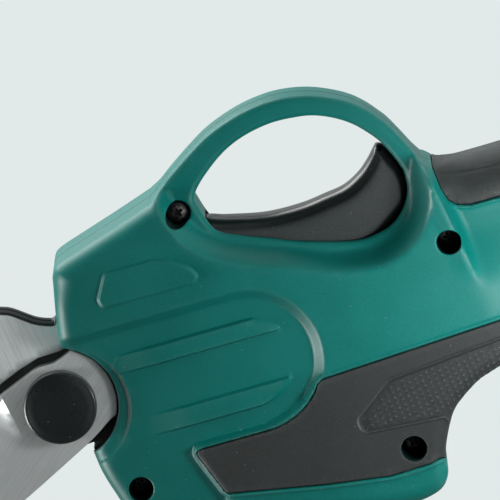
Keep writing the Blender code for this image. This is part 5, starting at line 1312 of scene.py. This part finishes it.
def shadeInside(piece, side):           # painted shade: wells, slots and hollows get the darkened green
    sunk, fromRim = 0.0018, 0.0006      # how far below the face, and how far from its rim
    centres = readAll(piece.data.polygons, "center", 3)
    points, depth = planeOf(centres), centres[:, 1] * side
    places = np.nonzero(depth < faceHeight(points) - sunk)[0]
    rims = [outerLoop(side > 0), openingLoop()]
    away = np.min([distanceTo(points[places], rim) for rim in rims], 0)
    drop = roundedRim(away, edgeRadius(points[places]))
    isDeep = depth[places] < faceHeight(points[places]) - drop - sunk
    marks = np.zeros(len(centres), np.int32)
    marks[places[isDeep & (away > fromRim)]] = 1
    piece.data.polygons.foreach_set("material_index", marks)


# Materials

studio = {
    "background": (0.761, 0.823, 0.815),
    "floor": (0.74, 0.78, 0.78),
    "fill": 0.02,
    "paleSide": 0.62,                   # what gloss shows of the studio behind the tool,
    "darkSide": 0.0,                    # and on the camera's side
}
finish = {
    "green": (0.0, 0.190, 0.166),
    # paler green along convex edges: partly edge wear, partly painted highlight
    "greenPale": (0.10, 0.30, 0.26),
    # dark green: the parting line's dirt, and the painted shade deep in wells and hollows
    "greenDark": (0.0, 0.016, 0.014),
    "rubber": (0.030, 0.035, 0.035),
    "plastic": (0.040, 0.048, 0.048),
    "plasticTop": (0.008, 0.010, 0.010),
    "cap": (0.018, 0.023, 0.023),
    "battery": (0.030, 0.033, 0.034),
    "steel": (0.72, 0.755, 0.75),
    "hook": (0.90, 0.95, 0.945),
    "dust": (0.42, 0.45, 0.43),
    "wearHighlightBlack": (0.16, 0.18, 0.18),    # what shows where an edge is rubbed, and the painted highlight on convex edges
    "wearHighlightPlastic": (0.14, 0.155, 0.155),
    "wearHighlightSteel": (0.75, 0.77, 0.76),
    "wearHighlightTurned": (0.7, 0.7, 0.7),
    "cutEdge": (0.06, 0.07, 0.07),      # the blades' sides, the hook's chamfer and its dark lines; the dark lines' colour also paints shade on the hook
    "chamfer": (0.10, 0.11, 0.11),
    "darkLine": (0.006, 0.008, 0.008),
    "lacquer": (0.010, 0.110, 0.040),
    "track": (0.020, 0.200, 0.070),
    "tin": (0.55, 0.55, 0.52),
    "wrap": (0.05, 0.16, 0.38),
    "cellEnd": (0.52, 0.52, 0.50),
    "lens": (0.30, 0.62, 0.36),
}


def addNode(tree, kind, **settings):
    node = tree.nodes.new(kind)
    for word, value in settings.items():
        setattr(node, word, value)
    return node


def feed(tree, value, socket):          # a socket is linked, a number is set
    if isinstance(value, bpy.types.NodeSocket):
        tree.links.new(value, socket)
    elif isinstance(value, tuple) and len(value) == 3 and socket.type == "RGBA":
        socket.default_value = (*value, 1.0)
    else:
        socket.default_value = value


def sums(tree, operation, *values):
    node = addNode(tree, "ShaderNodeMath", operation=operation)
    for value, socket in zip(values, node.inputs):
        feed(tree, value, socket)
    return node.outputs[0]


def spread(tree, value, low, high, start=0.0, end=1.0):
    node = addNode(tree, "ShaderNodeMapRange")
    for given, socket in zip((value, low, high, start, end), node.inputs):
        feed(tree, given, socket)
    return node.outputs[0]


def blendOf(tree, share, one, two):     # two colours mixed by a mask
    node = addNode(tree, "ShaderNodeMix", data_type="RGBA")
    feed(tree, share, node.inputs[0])
    feed(tree, one, node.inputs[6])
    feed(tree, two, node.inputs[7])
    return node.outputs[2]


def noise(tree, place, scale, detail=2.0, roughness=0.5):
    node = addNode(tree, "ShaderNodeTexNoise")
    feed(tree, place, node.inputs["Vector"])
    feed(tree, scale, node.inputs["Scale"])
    node.inputs["Detail"].default_value = detail
    node.inputs["Roughness"].default_value = roughness
    return node.outputs[0]


def newGroup(name, given, results):
    group = bpy.data.node_groups.new(name, "ShaderNodeTree")
    for word, value in given.items():
        socket = group.interface.new_socket(name=word, in_out="INPUT",
                                            socket_type="NodeSocketFloat")
        socket.default_value = value
    for word in results:
        group.interface.new_socket(name=word, in_out="OUTPUT", socket_type="NodeSocketFloat")
    return group, addNode(group, "NodeGroupInput").outputs, addNode(group, "NodeGroupOutput").inputs


def groupMouldGrain():                  # the fine grain of a moulded face, with soft clouding
    group, given, result = newGroup("mouldGrain", {"Scale": 2600.0, "Speckle": 0.2, "Cloud": 0.06},
                                    ("Height", "Tone"))
    place = addNode(group, "ShaderNodeTexCoord").outputs["Object"]
    fine = spread(group, noise(group, place, given["Scale"], 2.0), 0.32, 0.68, -1.0, 1.0)
    soft = spread(group, noise(group, place, 55.0, 3.0), 0.35, 0.65, -1.0, 1.0)
    tone = sums(group, "MULTIPLY_ADD", soft, given["Cloud"], 1.0)
    feed(group, sums(group, "MULTIPLY_ADD", fine, given["Speckle"], tone), result["Tone"])
    feed(group, fine, result["Height"])
    return group


def groupEdgeWearAndHighlight():                    # edge wear and painted highlight: paler where the piece is convex, in broken patches
    group, given, result = newGroup("edgeWearAndHighlight", {"Strength": 0.5, "Scale": 240.0}, ("Mask",))
    place = addNode(group, "ShaderNodeTexCoord").outputs["Object"]
    edge = addNode(group, "ShaderNodeAttribute", attribute_name="edge").outputs["Fac"]
    patchy = spread(group, noise(group, place, given["Scale"], 3.0), 0.35, 0.62, 0.25, 1.0)
    wearAndHighlightMask = sums(group, "MULTIPLY", spread(group, edge, 0.08, 0.60), patchy)
    feed(group, sums(group, "MULTIPLY", wearAndHighlightMask, given["Strength"]), result["Mask"])
    return group


def groupDustFilm():                    # a thin film on what faces up, and sparse pale flecks
    group, given, result = newGroup("dustFilm", {"Film": 0.05, "Fleck": 0.5, "Scale": 330.0},
                                    ("Mask",))
    texture = addNode(group, "ShaderNodeTexCoord")
    height = addNode(group, "ShaderNodeSeparateXYZ")
    feed(group, texture.outputs["Normal"], height.inputs[0])
    up = spread(group, height.outputs["Z"], 0.2, 0.95)
    thin = sums(group, "MULTIPLY", up, given["Film"])
    patchy = noise(group, texture.outputs["Object"], 120.0, 4.0)
    film = sums(group, "MULTIPLY", thin, spread(group, patchy, 0.3, 0.7, 0.3, 1.0))
    cells = addNode(group, "ShaderNodeTexVoronoi")
    feed(group, texture.outputs["Object"], cells.inputs["Vector"])
    feed(group, given["Scale"], cells.inputs["Scale"])
    tint = addNode(group, "ShaderNodeSeparateColor")
    feed(group, cells.outputs["Color"], tint.inputs[0])
    rare = sums(group, "GREATER_THAN", tint.outputs["Red"], 0.86)
    small = spread(group, cells.outputs["Distance"], 0.07, 0.10, 1.0, 0.0)
    fleck = sums(group, "MULTIPLY", sums(group, "MULTIPLY", rare, small), given["Fleck"])
    feed(group, sums(group, "MAXIMUM", film, fleck), result["Mask"])
    return group


def groupBrushedLines():                # fine lines laid at an angle in the blades' plane
    group, given, result = newGroup("brushedLines", {"Angle": 0.0, "Scale": 1800.0, "Depth": 0.1},
                                    ("Tone", "Height"))
    place = addNode(group, "ShaderNodeTexCoord").outputs["Object"]
    turned = addNode(group, "ShaderNodeVectorRotate", rotation_type="Y_AXIS")
    feed(group, place, turned.inputs["Vector"])
    feed(group, given["Angle"], turned.inputs["Angle"])
    stretched = addNode(group, "ShaderNodeVectorMath", operation="MULTIPLY")
    feed(group, turned.outputs[0], stretched.inputs[0])
    stretched.inputs[1].default_value = (1.0, 0.3, 0.045)
    lines = noise(group, stretched.outputs[0], given["Scale"], 3.0, 0.6)
    lines = spread(group, lines, 0.3, 0.7, -1.0, 1.0)
    soft = spread(group, noise(group, place, 70.0, 2.0), 0.35, 0.65, -0.5, 0.5)
    tone = sums(group, "MULTIPLY_ADD", sums(group, "ADD", lines, soft), given["Depth"], 1.0)
    feed(group, tone, result["Tone"])
    feed(group, lines, result["Height"])
    return group


effects = {
    "mouldGrain": groupMouldGrain(),
    "edgeWearAndHighlight": groupEdgeWearAndHighlight(),
    "dustFilm": groupDustFilm(),
    "brushedLines": groupBrushedLines(),
}


def effect(tree, word, **values):
    node = addNode(tree, "ShaderNodeGroup", node_tree=effects[word])
    for name, value in values.items():
        node.inputs[name].default_value = value
    return node.outputs


def newMaterial(name, metallic=0.0, specular=0.5):
    material = bpy.data.materials.new(name)
    material.use_nodes = True
    tree = material.node_tree
    shader = tree.nodes["Principled BSDF"]
    shader.inputs["Metallic"].default_value = metallic
    shader.inputs["Specular IOR Level"].default_value = specular
    return material, tree, shader.inputs


def toned(tree, colour, tone):          # a colour scaled by a tone that varies over the surface
    node = addNode(tree, "ShaderNodeVectorMath", operation="SCALE")
    feed(tree, colour, node.inputs[0])
    feed(tree, tone, node.inputs["Scale"])
    return node.outputs[0]


def bumped(tree, shader, height, strength, distance=0.0002):
    bump = addNode(tree, "ShaderNodeBump")
    bump.inputs["Strength"].default_value = strength
    bump.inputs["Distance"].default_value = distance
    feed(tree, height, bump.inputs["Height"])
    feed(tree, bump.outputs[0], shader["Normal"])


def depthOf(tree, output="Object"):     # the size of Y, of a place or of a normal
    apart = addNode(tree, "ShaderNodeSeparateXYZ")
    feed(tree, addNode(tree, "ShaderNodeTexCoord").outputs[output], apart.inputs[0])
    return sums(tree, "ABSOLUTE", apart.outputs["Y"])


# edge wear mixed with a painted highlight: a paler colour along convex edges
def rubbedAndHighlit(tree, colour, pale, strength, scale):
    wearAndHighlight = effect(tree, "edgeWearAndHighlight", Strength=strength, Scale=scale)["Mask"]
    return blendOf(tree, wearAndHighlight, colour, pale)


def dusted(tree, colour, film, fleck, scale):
    dust = effect(tree, "dustFilm", Film=film, Fleck=fleck, Scale=scale)["Mask"]
    return blendOf(tree, dust, colour, finish["dust"])


def satinGreen():
    material, tree, shader = newMaterial("satinGreen", 0.0, 0.30)
    grain = effect(tree, "mouldGrain", Scale=2600.0, Speckle=0.10, Cloud=0.05)
    colour = toned(tree, finish["green"], grain["Tone"])
    # paler green rims: partly edge wear, partly painted highlight
    colour = rubbedAndHighlit(tree, colour, finish["greenPale"], 0.5, 300.0)
    colour = dusted(tree, colour, 0.0, 0.22, 420.0)
    seam = spread(tree, depthOf(tree), 0.00035, 0.00060, 0.9, 0.0)      # dirt in the parting line
    feed(tree, blendOf(tree, seam, colour, finish["greenDark"]), shader["Base Color"])
    feed(tree, spread(tree, grain["Tone"], 0.9, 1.1, 0.42, 0.50), shader["Roughness"])
    bumped(tree, shader, grain["Height"], 0.045)
    return material


def shadedGreen():                      # painted shade: the same plastic darkened deep inside, where no light reaches
    material, tree, shader = newMaterial("shadedGreen", 0.0, 0.2)
    grain = effect(tree, "mouldGrain", Scale=1900.0, Speckle=0.1, Cloud=0.1)
    feed(tree, toned(tree, finish["greenDark"], grain["Tone"]), shader["Base Color"])
    feed(tree, spread(tree, grain["Tone"], 0.8, 1.2, 0.55, 0.7), shader["Roughness"])
    return material


def gripRubber():
    material, tree, shader = newMaterial("gripRubber", 0.0, 0.35)
    grain = effect(tree, "mouldGrain", Scale=2400.0, Speckle=0.24, Cloud=0.08)
    colour = toned(tree, finish["rubber"], grain["Tone"])
    # paler rubber edges and dot tops: partly edge wear, partly painted highlight
    colour = rubbedAndHighlit(tree, colour, finish["wearHighlightBlack"], 0.55, 900.0)
    feed(tree, dusted(tree, colour, 0.05, 0.30, 420.0), shader["Base Color"])
    feed(tree, spread(tree, grain["Tone"], 0.7, 1.3, 0.52, 0.74), shader["Roughness"])
    bumped(tree, shader, grain["Height"], 0.16)
    return material


def mouldedBlack():                     # grained on its flat sides, smooth on its rounded top
    material, tree, shader = newMaterial("triggerBlack", 0.0, 0.45)
    grain = effect(tree, "mouldGrain", Scale=2300.0, Speckle=0.26, Cloud=0.06)
    flat = spread(tree, depthOf(tree, "Normal"), 0.86, 0.985)
    sides = toned(tree, finish["plastic"], grain["Tone"])
    colour = blendOf(tree, flat, finish["plasticTop"], sides)
    colour = rubbedAndHighlit(tree, colour, finish["wearHighlightBlack"], 0.12, 500.0)
    feed(tree, dusted(tree, colour, 0.04, 0.30, 420.0), shader["Base Color"])
    feed(tree, spread(tree, flat, 0.0, 1.0, 0.28, 0.62), shader["Roughness"])
    bumped(tree, shader, sums(tree, "MULTIPLY", grain["Height"], flat), 0.25)
    return material


def evenBlack(name, colour, low, high, speckle=0.10, bump=0.10):
    material, tree, shader = newMaterial(name, 0.0, 0.45)
    grain = effect(tree, "mouldGrain", Scale=1700.0, Speckle=speckle, Cloud=0.10)
    tone = toned(tree, colour, grain["Tone"])
    tone = rubbedAndHighlit(tree, tone, finish["wearHighlightPlastic"], 0.25, 500.0)
    feed(tree, dusted(tree, tone, 0.05, 0.25, 300.0), shader["Base Color"])
    feed(tree, spread(tree, grain["Tone"], 0.85, 1.15, low, high), shader["Roughness"])
    bumped(tree, shader, grain["Height"], bump)
    return material


def groundSteel(name, colour, angle, metallic, rough=0.40, hasBands=False):
    material, tree, shader = newMaterial(name, metallic, 0.3)
    lines = effect(tree, "brushedLines", Angle=math.radians(angle), Scale=1500.0, Depth=0.10)
    tone = toned(tree, colour, lines["Tone"])
    side = spread(tree, depthOf(tree, "Normal"), 0.30, 0.55, 0.75, 0.0)
    tone = blendOf(tree, side, tone, finish["cutEdge"])
    if hasBands:                        # dark lines along the chamfered back, and the shaded groove
        band = addNode(tree, "ShaderNodeAttribute", attribute_name="band").outputs["Fac"]
        chamfer = spread(tree, band, 0.0015, 0.0019, 1.0, 0.0)
        tone = blendOf(tree, chamfer, tone, finish["chamfer"])
        rim = spread(tree, band, 0.0004, 0.0006, 1.0, 0.0)
        inner = sums(tree, "ABSOLUTE", sums(tree, "SUBTRACT", band, 0.0017))
        inner = spread(tree, inner, 0.00035, 0.00055, 1.0, 0.0)
        both = sums(tree, "MULTIPLY", sums(tree, "MAXIMUM", rim, inner), 0.96)
        tone = blendOf(tree, both, tone, finish["darkLine"])
        # painted shade: the shade field darkens the groove round the hub and the tang next to the
        # pivot
        shade = addNode(tree, "ShaderNodeAttribute", attribute_name="shade").outputs["Fac"]
        tone = blendOf(tree, sums(tree, "MULTIPLY", shade, 0.97), tone, finish["darkLine"])
    feed(tree, rubbedAndHighlit(tree, tone, finish["wearHighlightSteel"], 0.2, 400.0), shader["Base Color"])
    rough = spread(tree, lines["Tone"], 0.85, 1.15, rough + 0.06, rough - 0.06)
    feed(tree, rough, shader["Roughness"])
    bumped(tree, shader, lines["Height"], 0.10, 0.0001)
    return material


def machined(name, colour, rough, depth=0.12, scale=1300.0):
    material, tree, shader = newMaterial(name, 1.0)
    lines = effect(tree, "brushedLines", Angle=0.0, Scale=scale, Depth=depth)
    tone = toned(tree, colour, lines["Tone"])
    feed(tree, rubbedAndHighlit(tree, tone, finish["wearHighlightTurned"], 0.4, 500.0), shader["Base Color"])
    rough = spread(tree, lines["Tone"], 0.8, 1.2, rough - 0.08, rough + 0.08)
    feed(tree, rough, shader["Roughness"])
    bumped(tree, shader, lines["Height"], 0.08, 0.0001)
    return material


def circuitBoard():                     # green lacquer with paler tracks and tinned pads
    material, tree, shader = newMaterial("boardLacquer", 0.0, 0.5)
    place = addNode(tree, "ShaderNodeTexCoord").outputs["Object"]
    tracks = addNode(tree, "ShaderNodeTexVoronoi", distance="CHEBYCHEV", feature="SMOOTH_F1")
    feed(tree, place, tracks.inputs["Vector"])
    tracks.inputs["Scale"].default_value = 260.0
    track = spread(tree, tracks.outputs["Distance"], 0.40, 0.46)
    pad = spread(tree, tracks.outputs["Distance"], 0.10, 0.14, 1.0, 0.0)
    colour = blendOf(tree, track, finish["lacquer"], finish["track"])
    feed(tree, blendOf(tree, pad, colour, finish["tin"]), shader["Base Color"])
    feed(tree, spread(tree, pad, 0.0, 1.0, 0.42, 0.25), shader["Roughness"])
    bumped(tree, shader, track, 0.2, 0.0001)
    return material


def cellWrap():
    material, tree, shader = newMaterial("cellWrap", 0.0, 0.5)
    grain = effect(tree, "mouldGrain", Scale=500.0, Speckle=0.05, Cloud=0.12)
    ends = spread(tree, depthOf(tree), 0.0306, 0.0310)      # bare metal at both ends
    wrap = toned(tree, finish["wrap"], grain["Tone"])
    feed(tree, blendOf(tree, ends, wrap, finish["cellEnd"]), shader["Base Color"])
    feed(tree, spread(tree, grain["Tone"], 0.85, 1.15, 0.30, 0.42), shader["Roughness"])
    bumped(tree, shader, grain["Height"], 0.1)
    return material


def lensPlastic():
    material, tree, shader = newMaterial("lensPlastic", 0.0, 0.5)
    grain = effect(tree, "mouldGrain", Scale=900.0, Speckle=0.08, Cloud=0.10)
    feed(tree, toned(tree, finish["lens"], grain["Tone"]), shader["Base Color"])
    feed(tree, spread(tree, grain["Tone"], 0.85, 1.15, 0.14, 0.24), shader["Roughness"])
    return material


def paleFloor():
    material, tree, shader = newMaterial("paleFloor", 0.0, 0.1)
    grain = effect(tree, "mouldGrain", Scale=40.0, Speckle=0.004, Cloud=0.006)
    feed(tree, toned(tree, studio["floor"], grain["Tone"]), shader["Base Color"])
    feed(tree, spread(tree, grain["Tone"], 0.98, 1.02, 0.88, 0.94), shader["Roughness"])
    return material


finishes = {
    "green_shell": satinGreen(),
    "shaded_green": shadedGreen(),
    "black_rubber": gripRubber(),
    "black_plastic": evenBlack("blackPlastic", finish["plastic"], 0.34, 0.46),
    "cap_black": evenBlack("capBlack", finish["cap"], 0.24, 0.30, 0.03, 0.01),
    "trigger_black": mouldedBlack(),
    "battery_plastic": evenBlack("batteryPlastic", finish["battery"], 0.48, 0.60, 0.22),
    "blade_steel": groundSteel("bladeSteel", finish["steel"], 40.0, 0.20),
    "hook_steel": groundSteel("hookSteel", finish["hook"], 100.0, 0.05, 0.42, True),
    "steel": machined("turnedSteel", (0.56, 0.56, 0.55), 0.30),
    "dark_steel": machined("darkSteel", (0.13, 0.13, 0.135), 0.40),
    "screw_black": machined("screwBlack", (0.060, 0.055, 0.056), 0.42, 0.2),
    "sink_aluminium": machined("sinkAluminium", (0.66, 0.67, 0.68), 0.36, 0.08, 900.0),
    "planet_brass": machined("planetBrass", (0.72, 0.52, 0.24), 0.30),
    "board": circuitBoard(),
    "cell": cellWrap(),
    "lens": lensPlastic(),
}


def settle(piece, look, body, *nodes, slot=None):
    piece.data.materials.clear()
    piece.data.materials.append(finishes[look])
    markEdges(piece)
    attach(piece, body)
    if nodes:
        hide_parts(*nodes)


print("making the housing")
parts = makeHousing()
for side, word in ((-1, "near"), (1, "far")):
    # painted shade: the shell's wells and hollows get the darkened green
    settle(parts["shell" + word], "green_shell", "housing", "housing_" + word)
    parts["shell" + word].data.materials.append(finishes["shaded_green"])
    shadeInside(parts["shell" + word], side)
    settle(parts["palm" + word], "black_rubber", "housing", "palm_grip_" + word)
    settle(parts["finger" + word], "black_rubber", "housing", "finger_grip_" + word)
print("making the trigger and blades")
settle(makeTrigger(), "trigger_black", "trigger", "trigger", slot="black_plastic")
settle(makeMovingBlade(), "blade_steel", "blade", "moving_blade")
settle(makeFixedBlade(), "hook_steel", "housing", "fixed_blade", slot="blade_steel")
settle(makeCap(), "cap_black", "blade", "pivot_cap", slot="black_plastic")
placeScrews()
print("making the battery and buttons")
settle(makeBatteryLower(), "battery_plastic", "battery", "battery_lower")
settle(makeBatteryUpper(), "battery_plastic", "battery", "battery_upper")
settle(makeLatch(), "black_plastic", "latch", "latch_button")
settle(makePowerButton(), "black_plastic", "power_button", "power_button")
settle(makeLens(), "lens", "housing", "indicator_lens")

slotOf = {part["node"]: part["material_slot"] for part in frame["record"]["subparts"]}
for node, solid in frame["nodes"].items():
    solid.data.materials.clear()
    solid.data.materials.append(finishes[slotOf[node]])


# Floor, light and camera

def lamp(name, place, target, size, watts):
    light = bpy.data.lights.new(name, "AREA")
    light.shape, light.size, light.energy = "DISK", size, watts
    holder = bpy.data.objects.new(name, light)
    bpy.context.collection.objects.link(holder)
    holder.location = place
    aim = Vector(target) - Vector(place)
    holder.rotation_euler = aim.to_track_quat("-Z", "Y").to_euler()
    holder.visible_camera = False


print("setting up the studio")
startFresh()
bpy.ops.mesh.primitive_plane_add(size=6.0, location=(0, 0, 0))
ground = bpy.context.object
ground.name = "studio_floor"
ground.data.materials.append(paleFloor())

world = bpy.data.worlds.new("studio")
bpy.context.scene.world = world
world.use_nodes = True
world.node_tree.nodes.clear()
tree = world.node_tree
rays = addNode(tree, "ShaderNodeLightPath").outputs
towards = addNode(tree, "ShaderNodeSeparateXYZ")
feed(tree, addNode(tree, "ShaderNodeTexCoord").outputs["Generated"], towards.inputs[0])
behind = spread(tree, towards.outputs["Y"], -0.75, 0.35, studio["darkSide"], studio["paleSide"])
plain = sums(tree, "MAXIMUM", rays["Is Camera Ray"], rays["Is Transmission Ray"])
dim, bright = addNode(tree, "ShaderNodeBackground"), addNode(tree, "ShaderNodeBackground")
dim.inputs[0].default_value, dim.inputs[1].default_value = (1, 1, 1, 1), studio["fill"]
bright.inputs[0].default_value = (*studio["background"], 1)
feed(tree, sums(tree, "MAXIMUM", plain, behind), bright.inputs[1])
mix = addNode(tree, "ShaderNodeMixShader")
feed(tree, sums(tree, "MAXIMUM", plain, rays["Is Glossy Ray"]), mix.inputs[0])
feed(tree, dim.outputs[0], mix.inputs[1])
feed(tree, bright.outputs[0], mix.inputs[2])
feed(tree, mix.outputs[0], addNode(tree, "ShaderNodeOutputWorld").inputs[0])

middle = (0.015, 0, 0.175)
lamps = {                               # place, aim, size, watts
    "keyLamp": ((1.09, 0.75, 0.71), middle, 1.3, 23.0),
    "sideLamp": ((0.11, -0.139, 0.957), middle, 0.3, 3.7),
    "lowLamp": ((-0.03, -0.13, 0.05), (-0.01, 0, 0.09), 0.06, 0.19),
    "sheenLamp": ((-0.165, -0.254, 1.02), middle, 0.5, 14.0),
}
for name, values in lamps.items():
    lamp(name, *values)
bpy.data.objects["sheenLamp"].visible_diffuse = False   # it only shows in the gloss

camera = {
    "aim": (0.01501, 0.0, 0.17485),
    "distance": 3.0,
    "lens": 672.2,
    "back": (0.1504, -0.9877, -0.0431),     # from the aim to the camera
    "right": (-0.2756, 0.0, -0.9613),       # the picture's right
}
data = bpy.data.cameras.new("photoCamera")
data.lens, data.sensor_width, data.clip_end = camera["lens"], 36.0, 50.0
holder = bpy.data.objects.new("photoCamera", data)
bpy.context.collection.objects.link(holder)
back, right = Vector(camera["back"]).normalized(), Vector(camera["right"]).normalized()
up = back.cross(right).normalized()
turn = Matrix((right, up, back)).transposed().to_4x4()
turn.translation = Vector(camera["aim"]) + back * camera["distance"]
holder.matrix_world = turn
bpy.context.scene.camera = holder
bpy.context.scene.view_settings.view_transform = "Standard"
